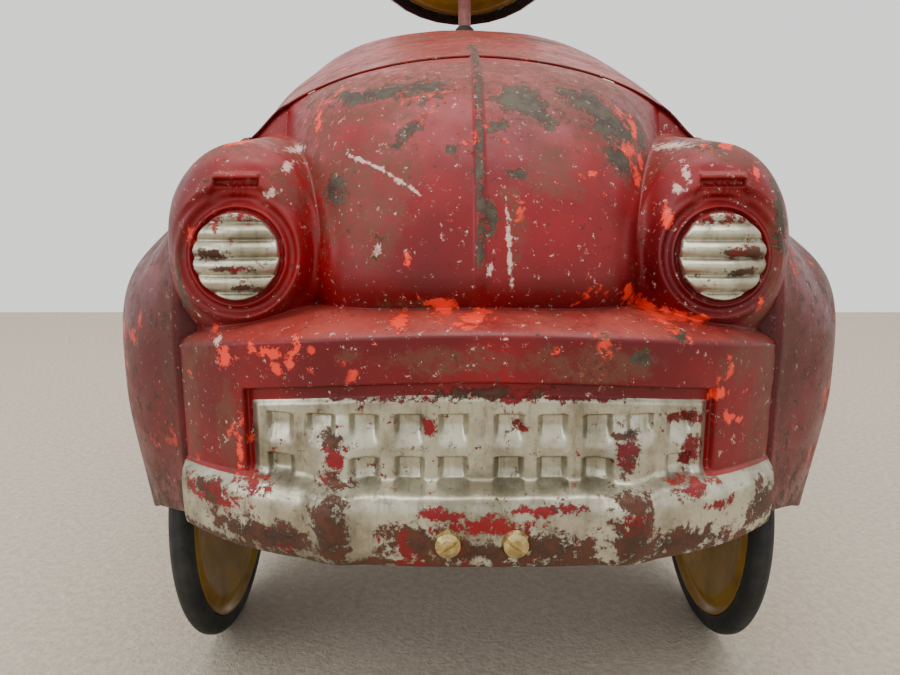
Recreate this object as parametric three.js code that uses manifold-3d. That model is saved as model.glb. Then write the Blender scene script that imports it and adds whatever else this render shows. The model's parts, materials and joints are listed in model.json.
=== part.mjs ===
// A child's pressed-steel pedal car: a worn sheet body on two rails, a steered front axle,
// and pedals that turn a cranked rear axle through two drive rods.
// Millimetres, +Z up, the car's nose points along -Y. The origin is on the floor, under the
// middle of the car's bounding box.

import * as THREE from 'three';
import { ParametricGeometry } from 'three/addons/geometries/ParametricGeometry.js';
import * as BufferGeometryUtils from 'three/addons/utils/BufferGeometryUtils.js';
import Module from 'manifold-3d';

const wasm = await Module();
wasm.setup();

// ---------------------------------------------------------------- driving dimensions

const LENGTH = 914;
const NOSE_Y = -LENGTH / 2;
const SHEET = 1.5;
const GAP = 0.3;

const WHEEL_RADIUS = 101.6;
const TYRE_WIDTH = 14;
const TYRE_SEAT_RADIUS = 88;
const FACETS = 32;
const TRACK_HALF = 177;
const FRONT_AXLE_Y = -225;
const REAR_AXLE_Y = 295;

const ROD_RADIUS = 5.5;
const BORE_CLEARANCE = 0.45;
const KINGPIN_X = 150;

const COLUMN_ANGLE = THREE.MathUtils.degToRad(65);
const STEERING_HUB = new THREE.Vector3(0, -13.6, 532);
const STEERING_RIM_RADIUS = 82;
const STEERING_RIM_TUBE = 7.5;

const STEERING_CRANK = 30;
const ROD_ELBOW_Z = 104;
const COWL_HOLE_Z = 457;
const TIE_ROD_Y = -180;
const TIE_ROD_Z = 82;

const PEDAL_ARM_X = 72.3;
const PEDAL_PIVOT = new THREE.Vector3(0, -100, 300);
const PEDAL_ARM_LENGTH = 200;
const PEDAL_HALF_SWING = THREE.MathUtils.degToRad(12);
const CRANK_RADIUS = PEDAL_ARM_LENGTH * Math.sin(PEDAL_HALF_SWING);
const CRANK_LANE_X = 70;
const CRANK_WEB_SPREAD = 14;

const RAIL_X = 40;
const RAIL_FRONT_Y = -386;
const RAIL_WIDTH = 20;
const RAIL_HEIGHT = 12;
const RAIL_BOTTOM_Z = 125;
const RAIL_TOP_Z = RAIL_BOTTOM_Z + RAIL_HEIGHT;

// Nose pressing: bumper, wall with the grille, snout between the lamps, lamp pods.
const NOSE_BOTTOM_Z = 157;
const NOSE_WALL_Y = NOSE_Y + 10;
const NOSE_HALF_BOTTOM = 138;
const NOSE_HALF_TOP = 141;
const NOSE_WALL_TOP_Z = 252;
const BUMPER_Z = 174;
const BUMPER_HALF_HEIGHT = 17;
const BUMPER_DEPTH = 10;
const OVERRIDER_X = 62;
const OVERRIDER_Z = 184;
const OVERRIDER_WIDTH = 14;
const OVERRIDER_HALF_HEIGHT = 34;
const OVERRIDER_DEPTH = 7;
const SNOUT_CENTRE_Y = -300;
const SNOUT_LENGTH = 128;
const SNOUT_BASE_Z = 262;
const LAMP_X = 107;
const LAMP_Z = 284.5;
const LAMP_FACE_Y = -412;
const SEAM_PEAK_Z = 383;
const SCREW_X = 13.9;
const SCREW_Z = 168.5;
const SCREW_HEAD_RADIUS = 6.25;

// Ribs of the right-hand side panel, front to back. Each runs from the top edge, over the
// shoulder and the belly, down to the hem.
const SIDE_RIBS = [
    [[138, -306, 333], [144.4, -362, 314], [142.5, -395, 268], [141.5, -399, 210], [140.5, -399, 158]],
    [[134, -298, 342], [153, -330, 307], [173, -366, 262], [178, -369, 205], [172, -362, 146]],
    [[132, -288, 344], [160, -305, 307], [192, -335, 266], [198, -335, 215], [190, -330, 132]],
    [[136, -260, 343], [165, -265, 308], [196, -275, 270], [203, -275, 220], [199, -275, 110]],
    [[145, -200, 342], [170, -200, 312], [195, -200, 272], [203, -200, 220], [199, -200, 100]],
    [[156, -120, 341], [174, -120, 314], [186, -120, 275], [193, -125, 215], [190, -120, 82]],
    [[167, -45, 340], [175, -45, 318], [178, -45, 280], [180, -45, 210], [178, -45, 78]],
    [[166, 30, 312], [173, 30, 300], [176, 30, 265], [178, 30, 200], [177, 30, 78]],
    [[165, 110, 306], [172, 110, 295], [175, 110, 262], [178, 110, 200], [177, 110, 78]],
    [[160, 185, 330], [172, 185, 312], [182, 185, 270], [190, 185, 212], [187, 185, 84]],
    [[152, 250, 342], [172, 250, 318], [196, 250, 272], [203, 250, 218], [199, 250, 105]],
    [[144, 320, 337], [168, 320, 312], [194, 320, 268], [202, 325, 215], [198, 330, 105]],
    [[141, 372, 312], [160, 380, 290], [182, 392, 255], [190, 400, 208], [187, 400, 122]],
    [[141, 408, 272], [150, 420, 258], [165, 430, 235], [170, 437, 200], [168, 436, 124]],
    [[141, 428, 235], [141, 434, 222], [141, 439, 200], [141, 442, 170], [141, 442, 126]],
];
const TAIL_FIRST_RIB = 10;

// Rear deck and tail along the centre line, from the seat back to the bottom hem.
const TAIL_CENTRE = [
    [0, 250, 357], [0, 305, 357], [0, 355, 344], [0, 398, 315], [0, 430, 272],
    [0, 453, 222], [0, 461.3, 175], [0, 457, 126],
];

// Hood and cowl along the centre line, from the nose seam to the cockpit edge.
const HOOD_CENTRE = [[0, -324.6, 384.2], [0, -250, 407], [0, -150, 435], [0, -60, 457], [0, -20, 463]];

// ---------------------------------------------------------------- materials

function paint(colour, roughness, metalness = 0) {
    return new THREE.MeshStandardMaterial({ color: colour, roughness, metalness });
}

const redPaint = paint(0x9c2229, 0.5);
const greyPaint = paint(0x4a4642, 0.6, 0.4);
const yellowPaint = paint(0x8c6c1c, 0.45);
const blackRubber = paint(0x1b1c1c, 0.8);
const blackRim = paint(0x14120f, 0.35);
const barSteel = paint(0x6d625a, 0.5, 0.8);
const redRod = paint(0x7d4a42, 0.6);
const zincYellow = paint(0xb7a574, 0.35, 0.9);
const brightSteel = paint(0xa9a9a6, 0.3, 1);

// ---------------------------------------------------------------- solids

function weld(geometry) {
    const bare = geometry.clone();
    bare.deleteAttribute('normal');
    bare.deleteAttribute('uv');
    return BufferGeometryUtils.mergeVertices(bare, 1e-4);
}

function toManifold(geometry) {
    const welded = weld(geometry);
    const triVerts = new Uint32Array(welded.index.array);
    const vertProperties = new Float32Array(welded.attributes.position.array);
    return new wasm.Manifold(new wasm.Mesh({ numProp: 3, vertProperties, triVerts }));
}

function fromManifold(solid) {
    const mesh = solid.getMesh();
    const geometry = new THREE.BufferGeometry();
    geometry.setAttribute('position', new THREE.BufferAttribute(mesh.vertProperties, 3));
    geometry.setIndex(new THREE.BufferAttribute(mesh.triVerts, 1));
    return geometry;
}

function join(...geometries) {
    return fromManifold(geometries.map(toManifold).reduce((whole, piece) => whole.add(piece)));
}

function cut(geometry, ...tools) {
    const whole = toManifold(geometry);
    return fromManifold(tools.map(toManifold).reduce((left, tool) => left.subtract(tool), whole));
}

function box(x0, x1, y0, y1, z0, z1) {
    const geometry = new THREE.BoxGeometry(x1 - x0, y1 - y0, z1 - z0);
    return geometry.translate((x0 + x1) / 2, (y0 + y1) / 2, (z0 + z1) / 2);
}

// A cylinder from one point to another.
function bar(from, to, radius, sides = 12) {
    const direction = new THREE.Vector3().subVectors(to, from);
    const geometry = new THREE.CylinderGeometry(radius, radius, direction.length(), sides);
    const turn = new THREE.Quaternion();
    turn.setFromUnitVectors(new THREE.Vector3(0, 1, 0), direction.clone().normalize());
    geometry.applyQuaternion(turn);
    const middle = new THREE.Vector3().addVectors(from, to).multiplyScalar(0.5);
    return geometry.translate(middle.x, middle.y, middle.z);
}

function barX(x0, x1, y, z, radius, sides = 12) {
    return bar(new THREE.Vector3(x0, y, z), new THREE.Vector3(x1, y, z), radius, sides);
}

// A closed profile of [radius, height] points turned about the Y axis.
function turned(profile, facets) {
    const points = profile.map(([radius, height]) => new THREE.Vector2(radius, height));
    if (THREE.ShapeUtils.area(points) < 0) {
        points.reverse();
    }
    return new THREE.LatheGeometry(points, facets, Math.PI / facets);
}

// The same, turned about the X axis.
function turnedX(profile, facets) {
    return turned(profile, facets).rotateZ(-Math.PI / 2);
}

// An outline in the Y-Z plane extruded along X.
function plateX(outline, x0, x1, holes = []) {
    const shape = new THREE.Shape(outline.map(([y, z]) => new THREE.Vector2(y, z)));
    for (const [y, z, radius] of holes) {
        shape.holes.push(new THREE.Path().absarc(y, z, radius, 0, 2 * Math.PI, true));
    }
    const settings = { depth: x1 - x0, bevelEnabled: false, curveSegments: 7 };
    const geometry = new THREE.ExtrudeGeometry(shape, settings);
    geometry.rotateY(Math.PI / 2).rotateX(Math.PI / 2);
    return geometry.translate(x0, 0, 0);
}

// An outline in the X-Y plane extruded along Z.
function plateZ(shape, z0, z1) {
    const settings = { depth: z1 - z0, bevelEnabled: false, curveSegments: 7 };
    return new THREE.ExtrudeGeometry(shape, settings).translate(0, 0, z0);
}

// A rod's route: straight stretches between corners, each corner eased by two points.
class RodPath extends THREE.Curve {
    constructor(corners, ease) {
        super();
        this.stations = [corners[0]];
        for (let i = 1; i < corners.length - 1; i += 1) {
            const back = new THREE.Vector3().subVectors(corners[i - 1], corners[i]).setLength(ease);
            const on = new THREE.Vector3().subVectors(corners[i + 1], corners[i]).setLength(ease);
            this.stations.push(corners[i].clone().add(back), corners[i].clone().add(on));
        }
        this.stations.push(corners[corners.length - 1]);
    }

    getPointAt(u, target = new THREE.Vector3()) {
        return target.copy(this.stations[Math.round(u * (this.stations.length - 1))]);
    }

    getTangentAt(u, target = new THREE.Vector3()) {
        const last = this.stations.length - 1;
        const i = Math.round(u * last);
        const before = this.stations[Math.max(i - 1, 0)];
        const here = this.stations[i];
        const after = this.stations[Math.min(i + 1, last)];
        const arriving = new THREE.Vector3().subVectors(here, before).normalize();
        const leaving = new THREE.Vector3().subVectors(after, here).normalize();
        return target.addVectors(arriving, leaving).normalize();
    }
}

function bentRod(corners, radius, ease = radius) {
    const path = new RodPath(corners, ease);
    const section = new THREE.Shape().absarc(0, 0, radius, 0, 2 * Math.PI);
    const steps = path.stations.length - 1;
    const settings = { steps, extrudePath: path, curveSegments: 10, bevelEnabled: false };
    return new THREE.ExtrudeGeometry(section, settings);
}

// A pressed panel of one gauge. surface(u, v) is its outer face, u to the right and v up as
// seen from outside, both from 0 to 1.
function pressedPanel(surface, across, up, gauge = SHEET) {
    const step = 1e-3;
    const inner = (u, v) => {
        const u0 = Math.max(u - step, 0);
        const u1 = Math.min(u + step, 1);
        const v0 = Math.max(v - step, 0);
        const v1 = Math.min(v + step, 1);
        const alongU = new THREE.Vector3().subVectors(surface(u1, v), surface(u0, v));
        const alongV = new THREE.Vector3().subVectors(surface(u, v1), surface(u, v0));
        const normal = alongU.cross(alongV).normalize();
        return surface(u, v).addScaledVector(normal, -gauge);
    };
    const patch = (point, columns, rows) => {
        const face = new ParametricGeometry((u, v, target) => target.copy(point(u, v)), columns, rows);
        return weldable(face);
    };
    const between = (from, to, w) => from.lerp(to, w);
    return BufferGeometryUtils.mergeGeometries([
        patch(surface, across, up),
        patch((u, v) => inner(1 - u, v), across, up),
        patch((u, w) => between(inner(u, 0), surface(u, 0), w), across, 1),
        patch((u, w) => between(surface(u, 1), inner(u, 1), w), across, 1),
        patch((v, w) => between(inner(1, v), surface(1, v), w), up, 1),
        patch((v, w) => between(surface(0, v), inner(0, v), w), up, 1),
    ]);
}

function weldable(geometry) {
    geometry.deleteAttribute('normal');
    geometry.deleteAttribute('uv');
    return geometry;
}

const car = new THREE.Group();

function add(name, geometry, material) {
    const mesh = new THREE.Mesh(weld(geometry), material);
    mesh.name = name;
    mesh.geometry.computeVertexNormals();
    car.add(mesh);
    return mesh;
}

// ---------------------------------------------------------------- body surfaces

function softMin(a, b, reach) {
    const h = Math.max(reach - Math.abs(a - b), 0) / reach;
    return Math.min(a, b) - h * h * reach / 4;
}

// Height of the seam between nose and hood, and of the pod shoulder outside it.
function seamHeight(x) {
    const out = Math.abs(x);
    const arch = SEAM_PEAK_Z - 0.02 * out - 0.0018 * out * out;
    const podStep = 6 * THREE.MathUtils.smoothstep(out, 106, 124);
    const shoulder = Math.max((out - 112) / 31, 0);
    return arch - podStep - 28 * (1 - Math.sqrt(1 - shoulder * shoulder));
}

// How far back the nose pressing lies at a point of the front view.
function noseDepth(x, z) {
    const out = Math.abs(x);
    let wall = NOSE_WALL_Y + 45 * (out / NOSE_HALF_BOTTOM) ** 3;
    const wallTop = NOSE_WALL_TOP_Z - 12 * (out / NOSE_HALF_BOTTOM) ** 2;
    wall += 18 * (Math.max(z - wallTop, 0) / 6.5) ** 2;

    const arch = (seamHeight(out) - SNOUT_BASE_Z) * 1.021;
    const rise = Math.min(Math.max(z - SNOUT_BASE_Z, 0) / arch, 1);
    const length = Math.max(SNOUT_LENGTH - 24 * (out / 72) ** 4, 20);
    let snout = SNOUT_CENTRE_Y - length * Math.sqrt(1 - rise * rise);
    snout += 6 * (Math.max(275 - z, 0) / 14) ** 2;

    const spread = Math.hypot((out - LAMP_X - 2) / 41, (z - LAMP_Z) / 54);
    const pod = LAMP_FACE_Y + 33 * spread ** 5 + 260 * Math.max(spread - 0.9, 0);

    let depth = softMin(softMin(wall, snout, 10), pod, 14);
    const taper = 4 * (out / NOSE_HALF_BOTTOM) ** 2;
    const bumperHalf = z > BUMPER_Z ? BUMPER_HALF_HEIGHT - taper : BUMPER_HALF_HEIGHT + 7;
    const bumper = 1 - ((z - BUMPER_Z) / bumperHalf) ** 4;
    depth -= BUMPER_DEPTH * Math.max(bumper, 0);
    const overrider = 1 - ((out - OVERRIDER_X) / OVERRIDER_WIDTH) ** 2;
    const overriderEnd = 1 - ((z - OVERRIDER_Z) / OVERRIDER_HALF_HEIGHT) ** 2;
    depth -= OVERRIDER_DEPTH * Math.max(overrider, 0) ** 1.5 * Math.max(overriderEnd, 0);
    return depth;
}

function nosePoint(u, v) {
    const side = 2 * u - 1;
    const top = seamHeight(side * NOSE_HALF_TOP);
    const z = NOSE_BOTTOM_Z + v * (top - NOSE_BOTTOM_Z);
    const grow = Math.min((z - NOSE_BOTTOM_Z) / 140, 1);
    const x = side * (NOSE_HALF_BOTTOM + (NOSE_HALF_TOP - NOSE_HALF_BOTTOM) * grow);
    return new THREE.Vector3(x, noseDepth(x, z), z);
}

function curveThrough(points) {
    const corners = points.map((point) => new THREE.Vector3(...point));
    return new THREE.CatmullRomCurve3(corners, false, 'centripetal');
}

// The side panel: the ribs' matching points are joined by smooth lines from front to back.
const sideLines = SIDE_RIBS[0].map((_, line) => curveThrough(SIDE_RIBS.map((rib) => rib[line])));

function sidePoint(along, down) {
    const rib = sideLines.map((line) => line.getPoint(along));
    return new THREE.CatmullRomCurve3(rib, false, 'centripetal').getPoint(down);
}

// The hood lies between its crown line and its two edges, which follow the side panels.
const hoodCrown = curveThrough(HOOD_CENTRE);

function hoodPoint(u, v) {
    const side = 2 * u - 1;
    const s = Math.sin(Math.abs(side) * Math.PI / 2);
    const crown = hoodCrown.getPoint(v);
    const halfWidth = 128 + 36 * v;
    const edgeZ = 341 + 2 * (1 - v);
    const frontDrop = 0.74 * s ** 2 + 0.26 * s ** 14;
    const rearDrop = 1 - (1 - s ** 2.65) ** (1 / 2.65);
    const blend = 1 - (1 - v) ** 3;
    const drop = frontDrop + (rearDrop - frontDrop) * blend;
    const y = crown.y + 30 * s * s * (1 - v);
    return new THREE.Vector3(Math.sign(side) * s * halfWidth, y, crown.z - drop * (crown.z - edgeZ));
}

// The tail: its edges follow the side panels' last ribs, its crown the centre line.
const tailEdge = curveThrough([
    ...SIDE_RIBS.slice(TAIL_FIRST_RIB).map((rib) => rib[0]),
    ...SIDE_RIBS[SIDE_RIBS.length - 1].slice(1),
]);
const tailCrown = curveThrough(TAIL_CENTRE);

function tailPoint(u, v) {
    const side = 1 - 2 * u;
    const edge = tailEdge.getPoint(1 - v);
    const crown = tailCrown.getPoint(1 - v);
    const bulge = 1 - Math.abs(side) ** 2.4;
    return new THREE.Vector3(
        side * (edge.x - 1.7),
        edge.y + (crown.y - edge.y) * bulge,
        edge.z + (crown.z - edge.z) * bulge,
    );
}

// ---------------------------------------------------------------- body

function columnPoint(z) {
    const y = STEERING_HUB.y - (STEERING_HUB.z - z) / Math.tan(COLUMN_ANGLE);
    return new THREE.Vector3(0, y, z);
}

function columnDirection() {
    return new THREE.Vector3(0, Math.cos(COLUMN_ANGLE), Math.sin(COLUMN_ANGLE));
}

function wheelArch(y) {
    return barX(120, 230, y, WHEEL_RADIUS, 117, 40);
}

// A stretch of one nose screw's line, from one Y to another.
function alongScrew(side, y0, y1, radius, sides = 12) {
    const from = new THREE.Vector3(side * SCREW_X, y0, SCREW_Z);
    const to = new THREE.Vector3(side * SCREW_X, y1, SCREW_Z);
    return bar(from, to, radius, sides);
}

function screwHoles() {
    return [-1, 1].map((side) => alongScrew(side, NOSE_Y - 20, NOSE_Y + 30, 3.6));
}

function buildBody() {
    add('nose_panel', cut(pressedPanel(nosePoint, 34, 20), ...screwHoles()), redPaint);

    const columnHole = bar(columnPoint(420), columnPoint(500), 9, 16);
    add('hood_panel', cut(pressedPanel(hoodPoint, 18, 8), columnHole), redPaint);

    const side = pressedPanel((u, v) => sidePoint(u, 1 - v), 28, 9);
    addPair('side_panel', cut(side, wheelArch(FRONT_AXLE_Y), wheelArch(REAR_AXLE_Y)), redPaint);
    add('tail_panel', pressedPanel(tailPoint, 12, 12), redPaint);
}

// ---------------------------------------------------------------- frame and fixed pieces

function mirrored(geometry) {
    return flip(geometry.clone().scale(-1, 1, 1));
}

function flip(geometry) {
    if (!geometry.index) {
        return flip(weld(geometry));
    }
    const index = geometry.index.array;
    for (let i = 0; i < index.length; i += 3) {
        [index[i + 1], index[i + 2]] = [index[i + 2], index[i + 1]];
    }
    return geometry;
}

// Adds NAME_right as built and NAME_left as its mirror image.
function addPair(name, geometry, material) {
    add(`${name}_left`, mirrored(weld(geometry)), material);
    add(`${name}_right`, geometry, material);
}

// A U channel open downwards, its outline across X, extruded along Y.
function channelY(x, y0, y1) {
    const half = RAIL_WIDTH / 2;
    const wall = 2;
    const outline = [
        [-half, 0], [-half + wall, 0], [-half + wall, RAIL_HEIGHT - wall], [half - wall, RAIL_HEIGHT - wall],
        [half - wall, 0], [half, 0], [half, RAIL_HEIGHT], [-half, RAIL_HEIGHT],
    ];
    const shape = new THREE.Shape(outline.map(([a, b]) => new THREE.Vector2(a, b)));
    const geometry = new THREE.ExtrudeGeometry(shape, { depth: y1 - y0, bevelEnabled: false });
    return geometry.rotateX(Math.PI / 2).translate(x, y1, RAIL_BOTTOM_Z);
}

function buildFrame() {
    addPair('rail', channelY(RAIL_X, RAIL_FRONT_Y, 430), greyPaint);

    const member = [
        [-441.5, 158.5], [-441.5, 186], [-438.5, 186], [-438.5, 161.5], [-395, 161.5],
        [-395, RAIL_TOP_Z + 3.3], [-365, RAIL_TOP_Z + 3.3], [-365, RAIL_TOP_Z + GAP],
        [-398, RAIL_TOP_Z + GAP], [-398, 158.5],
    ];
    add('front_crossmember', cut(plateX(member, -58, 58), ...screwHoles()), greyPaint);

    const rearMember = [
        [400, RAIL_TOP_Z + GAP], [447, RAIL_TOP_Z + GAP], [447, 165], [444, 165], [444, RAIL_TOP_Z + 3.3],
        [400, RAIL_TOP_Z + 3.3],
    ];
    add('rear_crossmember', plateX(rearMember, -58, 58), greyPaint);

    const beam = box(-KINGPIN_X - 12, KINGPIN_X + 12, FRONT_AXLE_Y - 8, FRONT_AXLE_Y + 8, 113, 124.7);
    const pinHoles = [-1, 1].map((side) => bar(
        new THREE.Vector3(side * KINGPIN_X, FRONT_AXLE_Y, 105),
        new THREE.Vector3(side * KINGPIN_X, FRONT_AXLE_Y, 135),
        ROD_RADIUS + BORE_CLEARANCE,
        16,
    ));
    add('front_axle_beam', cut(beam, ...pinHoles), greyPaint);

    const seat = [
        [96, 158], [97.5, 158], [97.5, 160], [226, 160], [247.5, 338], [246, 338], [224.6, 161.5],
        [96, 161.5],
    ];
    const seatFoot = box(-58, 58, 96, 97.5, RAIL_TOP_Z + GAP, 159);
    add('seat_panel', join(plateX(seat, -142, 142), seatFoot), redPaint);

    const strap = box(-52, 52, FRONT_AXLE_Y + 14, FRONT_AXLE_Y + 44, RAIL_TOP_Z + GAP, RAIL_TOP_Z + 3.3);
    const strapHole = bar(columnPoint(120), columnPoint(160), ROD_RADIUS + BORE_CLEARANCE, 16);
    add('steering_bracket', cut(strap, strapHole), greyPaint);

    const hoodHole = columnPoint(COWL_HOLE_Z);
    const columnAxis = columnDirection();
    const bushFoot = hoodHole.clone().addScaledVector(columnAxis, -7);
    const bushTop = hoodHole.clone().addScaledVector(columnAxis, 2.5);
    const bush = cut(
        bar(bushFoot, bushTop, 8.6, 16),
        bar(columnPoint(400), columnPoint(500), ROD_RADIUS + BORE_CLEARANCE, 16),
    );
    add('cowl_bush', bush, blackRubber);

    add('pedal_hanger_rod', barX(-174, 174, PEDAL_PIVOT.y, PEDAL_PIVOT.z, ROD_RADIUS), barSteel);

    const hanger = plateX(
        [
            [REAR_AXLE_Y - 16, WHEEL_RADIUS - 14], [REAR_AXLE_Y + 16, WHEEL_RADIUS - 14],
            [REAR_AXLE_Y + 16, RAIL_BOTTOM_Z - GAP], [REAR_AXLE_Y - 16, RAIL_BOTTOM_Z - GAP],
        ],
        RAIL_X - 3,
        RAIL_X + 3,
        [[REAR_AXLE_Y, WHEEL_RADIUS, ROD_RADIUS + BORE_CLEARANCE]],
    );
    addPair('axle_hanger', hanger, greyPaint);

    add('dash_panel', buildDash(), redPaint);
}

// The dash hangs under the cowl's rear edge, cut away in an arch for the knees.
function buildDash() {
    const inset = 5;
    const rim = [];
    for (let i = 0; i <= 20; i += 1) {
        const point = hoodPoint(i / 20, 1);
        const scale = (Math.abs(point.x) - inset) / Math.max(Math.abs(point.x), 1);
        rim.push(new THREE.Vector2(point.x * Math.max(scale, 0), point.z - inset));
    }
    const shape = new THREE.Shape(rim);
    shape.absellipse(0, 341 - inset, 128, 66, 0, Math.PI, false);
    const settings = { depth: 2, bevelEnabled: false, curveSegments: 10 };
    const geometry = new THREE.ExtrudeGeometry(shape, settings);
    return geometry.rotateX(Math.PI / 2).translate(0, -24, 0);
}

function buildNoseScrews() {
    const faceY = NOSE_Y + 0.5;
    const shank = alongScrew(1, faceY - 2, NOSE_Y + 27, 3);
    const headProfile = [[0, -4.2], [3, -3.8], [5.2, -2.4], [SCREW_HEAD_RADIUS, 0], [0, 0]];
    const head = turnedX(headProfile, 16).rotateZ(Math.PI / 2).translate(SCREW_X, faceY - 0.6, SCREW_Z);
    const slot = box(-10, 10, NOSE_Y - 20, faceY - 3, -0.8, 0.8).rotateY(0.6).translate(SCREW_X, 0, SCREW_Z);
    addPair('nose_screw', cut(join(shank, head), slot), zincYellow);

    const nut = alongScrew(1, NOSE_Y + 18.8, NOSE_Y + 24, 6.2, 6);
    addPair('nose_nut', cut(nut, alongScrew(1, NOSE_Y, NOSE_Y + 30, 3.35)), barSteel);
}

// ---------------------------------------------------------------- steering

function buildSteering() {
    const axis = columnDirection();
    const down = axis.clone().negate();
    const across = new THREE.Vector3(0, axis.z, -axis.y);
    const elbow = columnPoint(ROD_ELBOW_Z);
    const crank = elbow.clone().addScaledVector(across, STEERING_CRANK);
    const finger = crank.clone().addScaledVector(down, 20);
    const top = STEERING_HUB.clone().addScaledVector(axis, 8);
    add('steering_rod', bentRod([top, elbow, crank, finger], ROD_RADIUS), redRod);

    const place = (geometry) => {
        const turn = new THREE.Quaternion().setFromUnitVectors(new THREE.Vector3(0, 1, 0), axis);
        return geometry.applyQuaternion(turn).translate(...STEERING_HUB.toArray());
    };
    const rimSection = [];
    for (let i = 0; i <= 10; i += 1) {
        const turn = (2 * Math.PI * i) / 10;
        const radius = STEERING_RIM_RADIUS + STEERING_RIM_TUBE * Math.cos(turn);
        rimSection.push([radius, STEERING_RIM_TUBE * Math.sin(turn)]);
    }
    add('steering_wheel_rim', place(turned(rimSection, 30)), blackRim);

    const dish = [
        [5.9, -9], [16, -9], [22, -3], [52, -9], [62, -9], [74.1, -4], [74.1, -2.4], [62, -7.4],
        [52, -7.4], [22, -1.4], [16, 1], [5.9, 1], [5.9, -9],
    ];
    add('steering_wheel_dish', place(turned(dish, 24)), yellowPaint);

    const cap = [[5.8, 1.4], [12, 1.4], [11, 8], [6, 12.5], [0, 13.5], [0, 8.6], [5.8, 8.6], [5.8, 1.4]];
    add('steering_cap_nut', place(turned(cap, 16)), brightSteel);
}

// Kingpin, stub axle and steering arm are one forging on each side.
function buildKnuckles() {
    const pin = bar(
        new THREE.Vector3(KINGPIN_X, FRONT_AXLE_Y, 88),
        new THREE.Vector3(KINGPIN_X, FRONT_AXLE_Y, 131),
        ROD_RADIUS,
    );
    const stub = barX(KINGPIN_X, TRACK_HALF + 17, FRONT_AXLE_Y, WHEEL_RADIUS, ROD_RADIUS);
    const arm = box(KINGPIN_X - 6, KINGPIN_X + 6, FRONT_AXLE_Y - 8, TIE_ROD_Y + 6, 88, 92);
    addPair('knuckle', join(pin, stub, arm), barSteel);

    const shape = new THREE.Shape();
    shape.moveTo(-KINGPIN_X - 6, TIE_ROD_Y - 6);
    shape.lineTo(-40, TIE_ROD_Y - 6);
    shape.lineTo(-26, TIE_ROD_Y - 30);
    shape.lineTo(26, TIE_ROD_Y - 30);
    shape.lineTo(40, TIE_ROD_Y - 6);
    shape.lineTo(KINGPIN_X + 6, TIE_ROD_Y - 6);
    shape.lineTo(KINGPIN_X + 6, TIE_ROD_Y + 6);
    shape.lineTo(-KINGPIN_X - 6, TIE_ROD_Y + 6);
    const slot = new THREE.Path();
    slot.moveTo(-7, TIE_ROD_Y - 25);
    slot.lineTo(-7, TIE_ROD_Y + 1);
    slot.lineTo(7, TIE_ROD_Y + 1);
    slot.lineTo(7, TIE_ROD_Y - 25);
    shape.holes.push(slot);
    const strip = plateZ(shape, TIE_ROD_Z - 1.5, TIE_ROD_Z + 1.5);
    const pins = [-1, 1].map((side) => bar(
        new THREE.Vector3(side * KINGPIN_X, TIE_ROD_Y, TIE_ROD_Z),
        new THREE.Vector3(side * KINGPIN_X, TIE_ROD_Y, 88 - GAP),
        3,
    ));
    add('tie_rod', join(strip, ...pins), barSteel);
}

// ---------------------------------------------------------------- wheels

function buildWheel(place, side, y) {
    const put = (geometry) => {
        const placed = side > 0 ? geometry : mirrored(weld(geometry));
        return placed.translate(side * TRACK_HALF, y, WHEEL_RADIUS);
    };
    const half = TYRE_WIDTH / 2;
    const seat = TYRE_SEAT_RADIUS + GAP;
    const outer = WHEEL_RADIUS / Math.cos(Math.PI / FACETS);
    const tyre = [
        [seat, -half + 1.5], [seat + 4, -half], [outer - 4.5, -half], [outer, -half + 2.6],
        [outer, half - 2.6], [outer - 4.5, half], [seat + 4, half], [seat, half - 1.5], [seat, -half + 1.5],
    ];
    add(`tyre_${place}`, put(turnedX(tyre, FACETS)), blackRubber);

    const disc = [
        [10.3, -2], [20, -2], [34, 4], [62, 1], [78, -5], [TYRE_SEAT_RADIUS - 0.5, -5],
        [TYRE_SEAT_RADIUS - 0.5, 5], [TYRE_SEAT_RADIUS - 2, 5], [TYRE_SEAT_RADIUS - 2, -3.5], [79, -3.5],
        [62.5, 2.6], [33.5, 5.6], [19.5, -0.5], [10.3, -0.5], [10.3, -2],
    ];
    add(`wheel_disc_${place}`, put(turnedX(disc, 24)), yellowPaint);

    const bore = ROD_RADIUS + BORE_CLEARANCE;
    const hub = [[bore, -12], [10, -12], [10, 10], [bore, 10], [bore, -12]];
    add(`wheel_hub_${place}`, put(turnedX(hub, 16)), barSteel);

    const cap = [
        [0, 19], [0, 21], [12, 20], [21, 15.5], [23, 6.2], [21.6, 6.2], [19.8, 14.6], [11.6, 18.4], [0, 19],
    ];
    add(`hub_cap_${place}`, put(turnedX(cap, 16)), brightSteel);
}

// ---------------------------------------------------------------- pedals and drive

function pedalPin(side) {
    const swing = side * PEDAL_HALF_SWING;
    return new THREE.Vector3(
        0,
        PEDAL_PIVOT.y + PEDAL_ARM_LENGTH * Math.sin(swing),
        PEDAL_PIVOT.z - PEDAL_ARM_LENGTH * Math.cos(swing),
    );
}

function crankPin(side) {
    return new THREE.Vector3(0, REAR_AXLE_Y + side * CRANK_RADIUS, WHEEL_RADIUS);
}

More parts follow.
